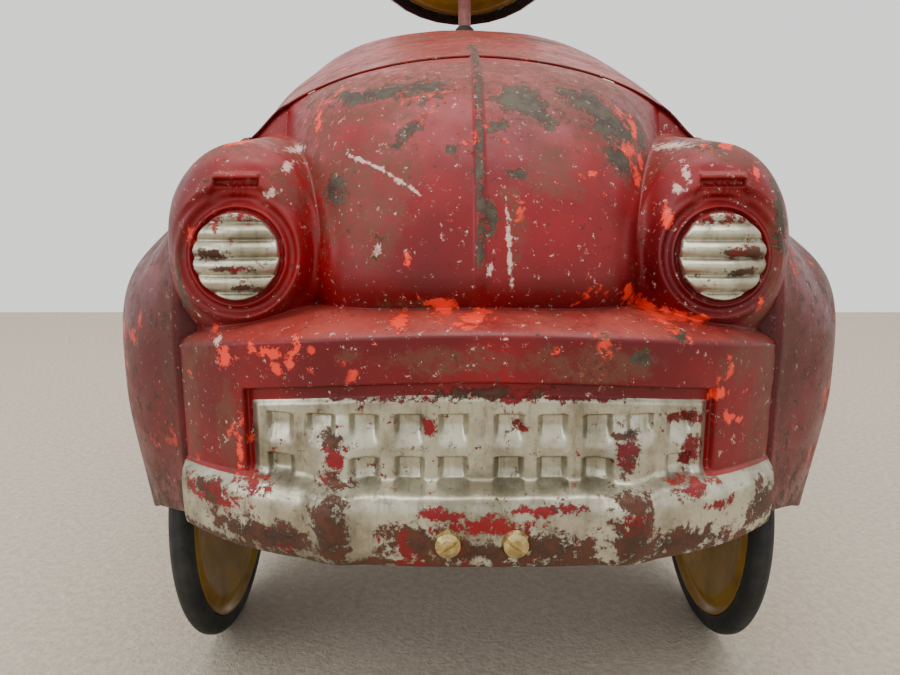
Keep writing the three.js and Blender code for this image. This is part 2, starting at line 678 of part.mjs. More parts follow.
function buildDrive() {
    const corner = (x, throwSide) => {
        const pin = throwSide ? crankPin(throwSide) : crankPin(0);
        return new THREE.Vector3(x, pin.y, pin.z);
    };
    const near = CRANK_LANE_X - CRANK_WEB_SPREAD;
    const far = CRANK_LANE_X + CRANK_WEB_SPREAD;
    const reach = TRACK_HALF + 17;
    add('crank_axle', bentRod([
        corner(-reach, 0), corner(-far, 0), corner(-far, -1), corner(-near, -1), corner(-near, 0),
        corner(near, 0), corner(near, 1), corner(far, 1), corner(far, 0), corner(reach, 0),
    ], ROD_RADIUS, 3), barSteel);

    for (const [name, side] of [['left', -1], ['right', 1]]) {
        const rear = crankPin(side);
        const front = pedalPin(side);
        const flank = (geometry) => (side > 0 ? geometry : mirrored(weld(geometry)));
        const bearing = cut(
            barX(CRANK_LANE_X - 7, CRANK_LANE_X + 7, rear.y, rear.z, 11, 16),
            barX(CRANK_LANE_X - 9, CRANK_LANE_X + 9, rear.y, rear.z, ROD_RADIUS + BORE_CLEARANCE, 16),
        );
        add(`crank_bearing_${name}`, flank(bearing), blackRubber);

        const rodIn = CRANK_LANE_X - 4;
        const rodOut = CRANK_LANE_X - 1;
        const strap = plateX([
            [front.y, front.z - 7], [rear.y, rear.z - 7], [rear.y, rear.z + 7], [front.y, front.z + 7],
        ], rodIn, rodOut);
        const rearEye = barX(rodIn, rodOut, rear.y, rear.z, 17, 20);
        const frontEye = barX(rodIn, rodOut, front.y, front.z, 9, 16);
        const pin = barX(rodIn - 3, PEDAL_ARM_X - GAP, front.y, front.z, 4);
        const eyeHole = barX(rodIn - 1, rodOut + 1, rear.y, rear.z, 11.4, 16);
        add(`drive_rod_${name}`, flank(join(cut(join(strap, rearEye, frontEye), eyeHole), pin)), barSteel);

        const armOut = PEDAL_ARM_X + 4;
        const lean = new THREE.Vector3().subVectors(front, PEDAL_PIVOT).normalize();
        const wide = new THREE.Vector3(0, -lean.z, lean.y).multiplyScalar(8);
        const corners = [
            PEDAL_PIVOT.clone().add(wide), PEDAL_PIVOT.clone().sub(wide),
            front.clone().sub(wide), front.clone().add(wide),
        ];
        const blade = plateX(corners.map((point) => [point.y, point.z]), PEDAL_ARM_X, armOut);
        const topEye = barX(PEDAL_ARM_X, armOut, PEDAL_PIVOT.y, PEDAL_PIVOT.z, 11, 16);
        const lowEye = barX(PEDAL_ARM_X, armOut, front.y, front.z, 9, 16);
        const step = PEDAL_PIVOT.clone().lerp(front, 0.8);
        const spindle = barX(armOut - 1, 121, step.y, step.z, 4);
        const bore = ROD_RADIUS + BORE_CLEARANCE;
        const pivotHole = barX(PEDAL_ARM_X - 1, armOut + 1, PEDAL_PIVOT.y, PEDAL_PIVOT.z, bore, 16);
        const arm = cut(join(blade, topEye, lowEye, spindle), pivotHole);
        add(`pedal_arm_${name}`, flank(arm), greyPaint);

        const pad = box(armOut + GAP, 119, -12, 12, -28, 28);
        pad.rotateX(side * PEDAL_HALF_SWING).translate(0, step.y, step.z);
        const padBore = barX(armOut - 2, 125, step.y, step.z, 4.35, 12);
        add(`pedal_pad_${name}`, flank(cut(pad, padBore)), blackRubber);
    }
}

buildBody();
buildFrame();
buildNoseScrews();
buildSteering();
buildKnuckles();
for (const [end, y] of [['front', FRONT_AXLE_Y], ['rear', REAR_AXLE_Y]]) {
    buildWheel(`${end}_left`, -1, y);
    buildWheel(`${end}_right`, 1, y);
}
buildDrive();

export default car;
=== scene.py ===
import json
import math

import bmesh
import bpy
import numpy as np
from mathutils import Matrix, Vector

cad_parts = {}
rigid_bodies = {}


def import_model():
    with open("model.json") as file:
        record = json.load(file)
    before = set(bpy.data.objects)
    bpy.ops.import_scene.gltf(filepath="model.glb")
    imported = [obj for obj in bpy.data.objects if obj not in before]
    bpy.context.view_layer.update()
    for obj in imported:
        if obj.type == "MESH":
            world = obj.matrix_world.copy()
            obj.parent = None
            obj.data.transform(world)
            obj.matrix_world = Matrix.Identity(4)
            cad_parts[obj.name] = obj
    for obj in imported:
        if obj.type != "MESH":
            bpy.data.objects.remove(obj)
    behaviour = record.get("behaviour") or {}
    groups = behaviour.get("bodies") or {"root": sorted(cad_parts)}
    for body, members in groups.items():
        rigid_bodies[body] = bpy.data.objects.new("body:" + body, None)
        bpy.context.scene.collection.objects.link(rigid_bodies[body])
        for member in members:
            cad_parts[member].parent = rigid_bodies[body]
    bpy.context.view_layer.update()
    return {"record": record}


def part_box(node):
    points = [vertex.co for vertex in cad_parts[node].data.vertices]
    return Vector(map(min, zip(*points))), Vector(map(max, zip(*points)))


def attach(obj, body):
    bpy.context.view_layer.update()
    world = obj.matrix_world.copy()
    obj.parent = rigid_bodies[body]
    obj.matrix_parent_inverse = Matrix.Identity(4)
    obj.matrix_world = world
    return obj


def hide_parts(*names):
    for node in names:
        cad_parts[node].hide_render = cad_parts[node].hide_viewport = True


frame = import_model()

# Shapes are in millimetres, lights and floor in metres: MM turns the first into the second.
MM = 0.001

# ---------------------------------------------------------------- places from the frame


def box_mm(node):
    lo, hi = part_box(node)
    return np.array(lo) / MM, np.array(hi) / MM


def middle(node):
    lo, hi = box_mm(node)
    return (lo + hi) / 2


WHEELS = [f"{end}_{side}" for end in ("front", "rear") for side in ("left", "right")]
WHEEL_CENTRE = {place: middle(f"tyre_{place}") for place in WHEELS}
WHEEL_RADIUS = middle("tyre_front_left")[2]
FRONT_AXLE_Y = WHEEL_CENTRE["front_left"][1]
REAR_AXLE_Y = WHEEL_CENTRE["rear_left"][1]
TYRE_HALF_WIDTH = (box_mm("tyre_front_left")[1] - box_mm("tyre_front_left")[0])[0] / 2

# ---------------------------------------------------------------- camera and light

CAMERA_AHEAD = 510
CAMERA_HEIGHT = 303
CAMERA_SIDE = -13
CAMERA_PITCH = 10
CAMERA_LENS = 29.1
WORLD_STRENGTH = 1.25
CEILING_WATTS = 34
WINDOW_WATTS = 14


def add_camera():
    data = bpy.data.cameras.new("camera")
    data.lens = CAMERA_LENS
    data.sensor_width = 36
    data.clip_start = 0.01
    camera = bpy.data.objects.new("camera", data)
    camera.location = Vector((CAMERA_SIDE, FRONT_AXLE_Y - CAMERA_AHEAD, CAMERA_HEIGHT)) * MM
    camera.rotation_euler = (math.radians(90 - CAMERA_PITCH), 0, 0)
    bpy.context.scene.collection.objects.link(camera)
    bpy.context.scene.camera = camera


def add_light(name, place, target, size, watts, colour):
    data = bpy.data.lights.new(name, "AREA")
    data.shape = "RECTANGLE"
    data.size, data.size_y = size
    data.energy = watts
    data.color = colour
    light = bpy.data.objects.new(name, data)
    light.location = place
    direction = Vector(target) - Vector(place)
    light.rotation_euler = direction.to_track_quat("-Z", "Y").to_euler()
    bpy.context.scene.collection.objects.link(light)


def add_world():
    world = bpy.data.worlds.new("studio")
    world.use_nodes = True
    background = world.node_tree.nodes["Background"]
    background.inputs["Color"].default_value = (1.0, 0.99, 0.97, 1)
    background.inputs["Strength"].default_value = WORLD_STRENGTH
    bpy.context.scene.world = world


# ---------------------------------------------------------------- shader building


class Shader:
    """A material whose nodes are made by short calls; each call gives back an output socket."""

    def __init__(self, name, slot):
        self.material = bpy.data.materials.new(name)
        self.material.use_nodes = True
        self.slot = slot
        self.tree = self.material.node_tree
        self.surface = self.tree.nodes["Principled BSDF"]
        self.place = self.node("ShaderNodeTexCoord").outputs["Object"]

    def node(self, kind):
        return self.tree.nodes.new(kind)

    def link(self, value, socket):
        if isinstance(value, bpy.types.NodeSocket):
            self.tree.links.new(value, socket)
        elif isinstance(value, tuple):
            socket.default_value = (*value, 1) if len(value) == 3 else value
        else:
            socket.default_value = value

    def noise(self, scale, detail=6, rough=0.6, warp=0.0, place=None):
        node = self.node("ShaderNodeTexNoise")
        self.link(place or self.place, node.inputs["Vector"])
        self.link(scale, node.inputs["Scale"])
        self.link(detail, node.inputs["Detail"])
        self.link(rough, node.inputs["Roughness"])
        self.link(warp, node.inputs["Distortion"])
        return node.outputs["Fac"]

    def cells(self, scale, place=None):
        node = self.node("ShaderNodeTexVoronoi")
        self.link(place or self.place, node.inputs["Vector"])
        self.link(scale, node.inputs["Scale"])
        return node.outputs["Distance"]

    def stretched(self, x, y, z):
        node = self.node("ShaderNodeMapping")
        self.link(self.place, node.inputs["Vector"])
        node.inputs["Scale"].default_value = (x, y, z)
        return node.outputs["Vector"]

    def step(self, value, low, high, to_low=0.0, to_high=1.0):
        node = self.node("ShaderNodeMapRange")
        node.interpolation_type = "SMOOTHSTEP"
        self.link(value, node.inputs["Value"])
        self.link(low, node.inputs["From Min"])
        self.link(high, node.inputs["From Max"])
        self.link(to_low, node.inputs["To Min"])
        self.link(to_high, node.inputs["To Max"])
        return node.outputs["Result"]

    def math(self, kind, a, b=0.0):
        node = self.node("ShaderNodeMath")
        node.operation = kind
        self.link(a, node.inputs[0])
        self.link(b, node.inputs[1])
        return node.outputs[0]

    def mix(self, factor, a, b):
        node = self.node("ShaderNodeMix")
        node.data_type = "RGBA"
        self.link(factor, node.inputs["Factor"])
        self.link(a, node.inputs[6])
        self.link(b, node.inputs[7])
        return node.outputs[2]

    def blend(self, factor, a, b):
        node = self.node("ShaderNodeMix")
        self.link(factor, node.inputs["Factor"])
        self.link(a, node.inputs[2])
        self.link(b, node.inputs[3])
        return node.outputs[0]

    def attribute(self, name):
        node = self.node("ShaderNodeAttribute")
        node.attribute_name = name
        return node.outputs["Fac"]

    def facing_up(self):
        geometry = self.node("ShaderNodeNewGeometry")
        split = self.node("ShaderNodeSeparateXYZ")
        self.link(geometry.outputs["Normal"], split.inputs[0])
        return split.outputs["Z"]

    def finish(self, colour, roughness, metallic, height, depth=0.0004):
        bump = self.node("ShaderNodeBump")
        bump.inputs["Strength"].default_value = 1.0
        bump.inputs["Distance"].default_value = depth
        self.link(height, bump.inputs["Height"])
        self.link(colour, self.surface.inputs["Base Color"])
        self.link(roughness, self.surface.inputs["Roughness"])
        self.link(metallic, self.surface.inputs["Metallic"])
        self.link(bump.outputs["Normal"], self.surface.inputs["Normal"])
        return self.material


def srgb(r, g, b):
    def linear(value):
        value /= 255
        return value / 12.92 if value <= 0.04045 else ((value + 0.055) / 1.055) ** 2.4
    return (linear(r), linear(g), linear(b))


RED = srgb(134, 9, 17)
RED_DARK = srgb(94, 5, 13)
RED_FADED = srgb(166, 70, 60)
BROWN_HAZE = srgb(98, 56, 40)
BARE_METAL = srgb(84, 74, 60)
BARE_DARK = srgb(58, 46, 38)
PRIMER = srgb(188, 104, 76)
# Dark red of the painted shade laid over the front of each fender
PAINTED_SHADE_RED = srgb(58, 14, 13)
RUST = srgb(98, 54, 34)
RUST_DARK = srgb(62, 44, 34)
TOUCH_UP = srgb(236, 60, 38)
SCRATCH = srgb(222, 190, 178)
SILVER = srgb(196, 192, 172)
SILVER_DULL = srgb(140, 134, 114)


def ragged(s, name, noise_scale, reach, soft=0.03):
    """A listed patch, its border torn by noise. The layer is 1 on the border."""
    torn = s.math("MULTIPLY", s.math("SUBTRACT", s.noise(noise_scale, 12, 0.8), 0.5), reach)
    return s.step(s.math("ADD", s.attribute(name), torn), 1.0 - soft, 1.0 + soft)


def red_paint_material():
    """Faded enamel: clean red, brown haze, chips down to dark metal, orange touching up.

    The layers haze, chip, rim, touch, mark, bare and rust are 0 where there is none, 1 on the border of
    a patch and 2 at its centre. Silver and the painted shade run from 0 to 1; the painted shade darkens the
    front of each fender.
    """
    s = Shader("worn_red", "red_paint")
    up = s.facing_up()
    wide = s.noise(7, 3)
    fine = s.noise(150, 6, 0.7)
    colour = s.mix(s.step(wide, 0.4, 0.6), RED, RED_DARK)
    colour = s.mix(s.step(s.noise(48, 8, 0.7), 0.46, 0.66, 0.0, 0.4), colour, RED_DARK)
    faded = s.math("MULTIPLY", s.step(up, 0.6, 1.02), s.step(s.noise(14, 9, 0.76), 0.36, 0.64, 0.2, 0.95))
    colour = s.mix(faded, colour, RED_FADED)

    loose_haze = s.step(s.noise(13, 14, 0.84), 0.56, 0.64, 0.0, 0.7)
    haze = s.math("MAXIMUM", ragged(s, "haze", 30, 6.5, 0.3), loose_haze)
    haze = s.math("MULTIPLY", haze, s.step(s.noise(170, 9, 0.84), 0.4, 0.56, 0.1, 0.85))
    colour = s.mix(haze, colour, BROWN_HAZE)

    loose = s.noise(30, 12, 0.76)
    chip = s.math("MAXIMUM", ragged(s, "chip", 110, 7.5), s.step(loose, 0.66, 0.67))
    rim = s.math("MAXIMUM", ragged(s, "rim", 110, 7.5, 0.05), s.step(loose, 0.645, 0.655))
    colour = s.mix(s.math("MULTIPLY", rim, s.step(fine, 0.4, 0.6, 0.1, 0.85)), colour, PRIMER)
    metal = s.mix(s.step(s.noise(110, 7, 0.75), 0.4, 0.64), BARE_DARK, BARE_METAL)
    colour = s.mix(chip, colour, metal)

    speck = s.step(s.noise(210, 4, 0.7), 0.675, 0.71)
    colour = s.mix(s.math("MULTIPLY", speck, 0.75), colour, RUST_DARK)
    light_speck = s.step(s.noise(170, 5, 0.75, 0.4, s.stretched(1, 1, 0.7)), 0.7, 0.73)
    colour = s.mix(s.math("MULTIPLY", light_speck, 0.5), colour, PRIMER)

    touch = ragged(s, "touch", 190, 8.0)
    spots = s.math("MULTIPLY", s.step(s.noise(33, 3), 0.62, 0.66), s.step(fine, 0.52, 0.56))
    touch = s.math("MAXIMUM", touch, s.math("MULTIPLY", spots, 0.8))
    colour = s.mix(touch, colour, TOUCH_UP)

    scored = s.step(s.noise(9, 9, 0.78, 1.2, s.stretched(14, 14, 2)), 0.745, 0.76)
    colour = s.mix(s.math("MULTIPLY", scored, 0.4), colour, SCRATCH)
    marks = ragged(s, "mark", 260, 9.0)
    colour = s.mix(s.math("MULTIPLY", marks, 0.8), colour, SCRATCH)

    # Painted shade: the front of each fender is darkened to stand in for shade falling there, not for dirt
    painted_shade = s.math("MULTIPLY", s.attribute("painted_shade"), s.step(s.noise(20, 8, 0.7), 0.3, 0.7, 0.4, 0.7))
    colour = s.mix(painted_shade, colour, PAINTED_SHADE_RED)

    rough = s.step(s.noise(60, 5), 0.3, 0.7, 0.34, 0.5)
    rough = s.math("ADD", rough, s.math("MULTIPLY", haze, 0.2))
    rough = s.blend(chip, rough, 0.58)
    metallic = s.math("MULTIPLY", chip, 0.35)
    height = s.math("ADD", s.math("MULTIPLY", s.noise(300, 5), 0.1), s.math("MULTIPLY", chip, -0.55))
    height = s.math("ADD", height, s.math("MULTIPLY", touch, 0.35))
    height = s.math("ADD", height, s.math("MULTIPLY", scored, -0.3))
    colour, rough, metallic, height = silver_over(s, colour, rough, metallic, height)
    s.surface.inputs["Specular IOR Level"].default_value = 0.38
    return s.finish(colour, rough, metallic, height)


def silver_over(s, colour, rough, metallic, height):
    """Silver paint brushed over the red, scraped back to red and rusted in places."""
    fine = s.noise(190, 7, 0.75)
    edge = s.math("MULTIPLY", s.math("SUBTRACT", fine, 0.5), 0.35)
    silver = s.step(s.math("ADD", s.attribute("silver"), edge), 0.47, 0.53)
    flake = s.step(s.noise(95, 12, 0.82), 0.645, 0.66)
    scrape = s.step(s.noise(22, 12, 0.84, 1.5, s.stretched(7, 7, 3)), 0.675, 0.69)
    bare = s.math("MAXIMUM", ragged(s, "bare", 170, 10.0), s.math("MAXIMUM", flake, scrape))
    paint = s.mix(s.step(s.noise(34, 6, 0.65), 0.38, 0.68), SILVER, SILVER_DULL)
    brushed = s.noise(60, 9, 0.8, 0.0, s.stretched(3.5, 1, 0.7))
    paint = s.mix(s.step(brushed, 0.5, 0.72, 0.0, 0.75), paint, srgb(92, 84, 68))
    shown = s.math("MULTIPLY", silver, s.math("SUBTRACT", 1.0, bare))
    colour = s.mix(shown, colour, paint)

    rust = ragged(s, "rust", 120, 7.5, 0.15)
    rusty = s.mix(s.step(s.noise(120, 8, 0.75), 0.42, 0.6), RUST_DARK, srgb(88, 52, 36))
    rusty = s.mix(s.step(s.noise(42, 7, 0.7), 0.55, 0.62), rusty, srgb(122, 24, 26))
    rusty = s.mix(s.step(s.noise(64, 9, 0.76), 0.62, 0.66), rusty, SILVER_DULL)
    colour = s.mix(rust, colour, rusty)

    rough = s.blend(shown, rough, s.step(fine, 0.3, 0.7, 0.26, 0.42))
    rough = s.blend(rust, rough, 0.55)
    metallic = s.blend(shown, metallic, 0.85)
    metallic = s.blend(rust, metallic, 0.25)
    height = s.math("ADD", height, s.math("MULTIPLY", shown, 0.35))
    height = s.math("ADD", height, s.math("MULTIPLY", s.math("MULTIPLY", rust, fine), 0.6))
    return colour, rough, metallic, height


def metal_material(name, slot, base, dark, roughness, metallic, rust_amount):
    grain = 220
    s = Shader(name, slot)
    colour = s.mix(s.step(s.noise(grain, 6, 0.7), 0.3, 0.7), base, dark)
    rust = s.step(s.noise(45, 9, 0.72), 0.72 - rust_amount * 0.3, 0.8 - rust_amount * 0.3, 0.0, 0.9)
    colour = s.mix(rust, colour, RUST)
    rough = s.blend(rust, s.step(s.noise(80, 5), 0.3, 0.7, roughness - 0.08, roughness + 0.08), 0.75)
    metal = s.blend(rust, metallic, 0.1)
    height = s.math("ADD", s.noise(grain * 2, 5), s.math("MULTIPLY", rust, 0.6))
    return s.finish(colour, rough, metal, height, 0.0002)


def rubber_material():
    s = Shader("old_rubber", "rubber")
    dusty = s.step(s.noise(30, 8, 0.7), 0.45, 0.75, 0.0, 0.6)
    colour = s.mix(dusty, srgb(26, 28, 28), srgb(66, 66, 62))
    cracks = s.step(s.cells(260), 0.0, 0.25, 0.0, 1.0)
    height = s.math("ADD", s.math("MULTIPLY", s.noise(380, 5), 0.5), s.math("MULTIPLY", cracks, 0.15))
    rough = s.step(s.noise(50, 5), 0.3, 0.7, 0.55, 0.8)
    return s.finish(colour, rough, 0.0, height, 0.0003)


def yellow_paint_material():
    s = Shader("aged_yellow", "yellow_paint")
    colour = s.mix(s.step(s.noise(18, 6), 0.35, 0.7), srgb(150, 112, 22), srgb(112, 82, 18))
    dirt = s.step(s.noise(40, 9, 0.72), 0.5, 0.75, 0.0, 0.7)
    colour = s.mix(dirt, colour, srgb(66, 48, 24))
    chip = s.step(s.noise(52, 10, 0.74), 0.69, 0.71)
    colour = s.mix(chip, colour, BARE_METAL)
    rough = s.step(s.noise(70, 5), 0.3, 0.7, 0.28, 0.45)
    height = s.math("ADD", s.math("MULTIPLY", s.noise(240, 4), 0.2), s.math("MULTIPLY", chip, -0.6))
    return s.finish(colour, rough, 0.0, height, 0.0003)


# key, name, slot, base colour, dark colour, roughness, metallic, amount of rust
METALS = (
    ("frame", "frame_black", "frame_paint", (52, 46, 42), (34, 30, 28), 0.6, 0.3, 0.6),
    ("steel", "bare_steel", "bare_steel", (126, 116, 106), (84, 74, 66), 0.42, 0.85, 0.55),
    ("bright", "plated", "bright_steel", (196, 194, 188), (150, 148, 142), 0.22, 1.0, 0.2),
    ("zinc", "zinc", "zinc_yellow", (214, 196, 142), (160, 138, 88), 0.26, 1.0, 0.1),
    ("rim", "black_rim", "black_rim", (20, 17, 14), (30, 26, 21), 0.26, 0.0, 0.05),
    ("rod", "dull_red_rod", "red_rod_paint", (142, 88, 82), (112, 62, 58), 0.5, 0.1, 0.35),
)


def make_materials():
    made = {"red": red_paint_material()}
    for key, name, slot, base, dark, roughness, metallic, rust_amount in METALS:
        made[key] = metal_material(name, slot, srgb(*base), srgb(*dark), roughness, metallic, rust_amount)
    made["rubber"] = rubber_material()
    made["yellow"] = yellow_paint_material()
    return made


MATERIALS = make_materials()
SLOT_MATERIAL = {
    "red_paint": "red", "frame_paint": "frame", "rubber": "rubber", "yellow_paint": "yellow",
    "black_rim": "rim", "red_rod_paint": "rod", "zinc_yellow": "zinc", "bright_steel": "bright",
    "bare_steel": "steel",
}


def dress_cad_nodes():
    for entry in frame["record"]["subparts"]:
        piece = bpy.data.objects[entry["node"]]
        material = MATERIALS[SLOT_MATERIAL[entry["material_slot"]]]
        for slot in piece.material_slots:
            slot.material = material


# ---------------------------------------------------------------- mesh building


def smoothstep(low, high, value):
    t = np.clip((value - low) / (high - low), 0, 1)
    return t * t * (3 - 2 * t)


def grid_piece(name, points, material, body="body", layers=None, closed=False, smooth=True):
    """A sheet through a grid of points in millimetres; layers are values stored at its points."""
    rows, columns = points.shape[:2]
    mesh = bpy.data.meshes.new(name)
    index = np.arange(rows * columns).reshape(rows, columns)
    a = index[:-1, :-1].ravel()
    b = index[:-1, 1:].ravel()
    c = index[1:, 1:].ravel()
    d = index[1:, :-1].ravel()
    faces = np.stack([a, b, c, d], 1)
    if closed:
        wrap = np.stack([index[:-1, -1], index[:-1, 0], index[1:, 0], index[1:, -1]], 1)
        faces = np.concatenate([faces, wrap])
    mesh.from_pydata((points.reshape(-1, 3) * MM).tolist(), [], faces.tolist())
    mesh.polygons.foreach_set("use_smooth", [smooth] * len(mesh.polygons))
    for layer, values in (layers or {}).items():
        store = mesh.attributes.new(layer, "FLOAT", "POINT")
        store.data.foreach_set("value", np.asarray(values, dtype=np.float32).ravel())
    mesh.validate()
    piece = bpy.data.objects.new(name, mesh)
    piece.data.materials.append(material)
    bpy.context.scene.collection.objects.link(piece)
    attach(piece, body)
    return piece


def thicken(piece, thickness):
    modifier = piece.modifiers.new("gauge", "SOLIDIFY")
    modifier.thickness = thickness * MM
    modifier.offset = -1
    modifier.use_even_offset = False


def spline(points, t):
    """Centripetal Catmull-Rom through points, for an array of t from 0 to 1."""
    points = np.asarray(points, dtype=float)
    padded = np.vstack([2 * points[0] - points[1], points, 2 * points[-1] - points[-2]])
    place = np.clip(np.asarray(t, dtype=float), 0, 1) * (len(points) - 1)
    i = np.minimum(place.astype(int), len(points) - 2)
    w = (place - i)[..., None]
    p0, p1, p2, p3 = (padded[i + k] for k in range(4))
    d0 = np.maximum(np.linalg.norm(p1 - p0, axis=-1, keepdims=True) ** 0.5, 1e-4)
    d1 = np.maximum(np.linalg.norm(p2 - p1, axis=-1, keepdims=True) ** 0.5, 1e-4)
    d2 = np.maximum(np.linalg.norm(p3 - p2, axis=-1, keepdims=True) ** 0.5, 1e-4)
    t1 = ((p1 - p0) / d0 - (p2 - p0) / (d0 + d1) + (p2 - p1) / d1) * d1
    t2 = ((p2 - p1) / d1 - (p3 - p1) / (d1 + d2) + (p3 - p2) / d2) * d1
    c2 = -3 * p1 + 3 * p2 - 2 * t1 - t2
    c3 = 2 * p1 - 2 * p2 + t1 + t2
    return p1 + t1 * w + c2 * w ** 2 + c3 * w ** 3


def lumps(x, y, z, size, seed, octaves=3):
    """Slow unevenness of hand-worn sheet, in -1 to 1."""
    rng = np.random.default_rng(seed)
    total = np.zeros_like(x)
    weight = 1.0
    for octave in range(octaves):
        k = 2 * np.pi / (size / 2 ** octave)
        for _ in range(3):
            direction = rng.normal(size=3)
            direction /= np.linalg.norm(direction)
            phase = rng.uniform(0, 2 * np.pi)
            total += weight * np.sin(k * (x * direction[0] + y * direction[1] + z * direction[2]) + phase)
        weight *= 0.5
    return total / 5


# ---------------------------------------------------------------- nose pressing

NOSE_GAUGE = 1.2
NOSE_BOTTOM_Z = 157
NOSE_WALL_Y = -447
NOSE_HALF_BOTTOM = 138
NOSE_HALF_TOP = 141
NOSE_WALL_TOP_Z = 252
BUMPER_Z = 174
BUMPER_HALF_HEIGHT = 17
BUMPER_DEPTH = 10
OVERRIDER_X = 62
OVERRIDER_Z = 184
OVERRIDER_WIDTH = 14
OVERRIDER_HALF_HEIGHT = 34
OVERRIDER_DEPTH = 7
SNOUT_CENTRE_Y = -300
SNOUT_LENGTH = 128
SNOUT_BASE_Z = 262
LAMP_X = 107
LAMP_Z = 282.7
POD_Z = 284.5
LAMP_FACE_Y = -412
SEAM_PEAK_Z = 383
GRILLE_HALF_WIDTH = 102.5
GRILLE_TOP_Z = 233
GRILLE_DEPTH = 4.5
CELL_X = (11.6, 30, 49, 67.5, 86.5)
CELL_ROWS = ((213.2, 5.8), (194.2, 6.4))
LENS_RADIUS = 19.3
BEZEL_RADIUS = 27


def soft_min(a, b, reach):
    h = np.maximum(reach - np.abs(a - b), 0) / reach
    return np.minimum(a, b) - h * h * reach / 4


def seam_height(x):
    out = np.abs(x)
    arch = SEAM_PEAK_Z - 0.02 * out - 0.0018 * out * out
    pod_step = 6 * smoothstep(106, 124, out)
    shoulder = np.maximum((out - 112) / 31, 0)
    return arch - pod_step - 28 * (1 - np.sqrt(1 - shoulder * shoulder))


def nose_depth(x, z):
    """The plain pressing: wall, snout and lamp pods run together, bumper and overriders."""
    out = np.abs(x)
    wall = NOSE_WALL_Y + 45 * (out / NOSE_HALF_BOTTOM) ** 3
    wall_top = NOSE_WALL_TOP_Z - 12 * (out / NOSE_HALF_BOTTOM) ** 2
    wall = wall + 18 * (np.maximum(z - wall_top, 0) / 6.5) ** 2

    arch = (seam_height(out) - SNOUT_BASE_Z) * 1.021
    rise = np.clip((z - SNOUT_BASE_Z) / arch, 0, 1)
    length = np.maximum(SNOUT_LENGTH - 24 * (out / 72) ** 4, 20)
    snout = SNOUT_CENTRE_Y - length * np.sqrt(1 - rise * rise)
    snout = snout + 6 * (np.maximum(275 - z, 0) / 14) ** 2

    spread = np.hypot((out - LAMP_X - 2) / 41, (z - POD_Z) / 54)
    pod = LAMP_FACE_Y + 33 * spread ** 5 + 260 * np.maximum(spread - 0.9, 0)

    depth = soft_min(soft_min(wall, snout, 10), pod, 14)
    upper_half = BUMPER_HALF_HEIGHT - 4 * (out / NOSE_HALF_BOTTOM) ** 2
    bumper_half = np.where(z > BUMPER_Z, upper_half, BUMPER_HALF_HEIGHT + 7)
    bumper = 1 - ((z - BUMPER_Z) / bumper_half) ** 4
    depth = depth - BUMPER_DEPTH * np.maximum(bumper, 0)
    overrider = np.maximum(1 - ((out - OVERRIDER_X) / OVERRIDER_WIDTH) ** 2, 0) ** 1.5
    overrider_end = np.maximum(1 - ((z - OVERRIDER_Z) / OVERRIDER_HALF_HEIGHT) ** 2, 0)
    return depth - OVERRIDER_DEPTH * overrider * overrider_end


def grille_top(out):
    return GRILLE_TOP_Z - 7 * (out / GRILLE_HALF_WIDTH) ** 2


def grille_relief(x, z):
    """Recessed panel with two rows of pockets; positive is deeper."""
    out = np.abs(x)
    inside = smoothstep(GRILLE_HALF_WIDTH + 1.0, GRILLE_HALF_WIDTH - 1.0, out)
    top = grille_top(out)
    inside = inside * smoothstep(top + 0.9, top - 0.9, z) * smoothstep(186, 192, z)
    relief = GRILLE_DEPTH * inside
    panel = smoothstep(100, 96, out) * smoothstep(top - 5, top - 8, z) * smoothstep(184, 188, z)
    relief = relief - 1.6 * panel
    for row, (height, half) in enumerate(CELL_ROWS):
        for column, centre in enumerate(CELL_X):
            if row == 1 and column == 3:
                continue
            sink = 3 * (centre / 100) ** 2
            dx = np.abs(out - centre)
            dz = (z - height + sink) / half
            width = smoothstep(7.2, 3.6, dx)
            upper = smoothstep(1.12, 0.86, dz)
            lower = smoothstep(-1.5, 0.25, dz)
            relief = relief + 4.2 * width * upper * lower
    return relief


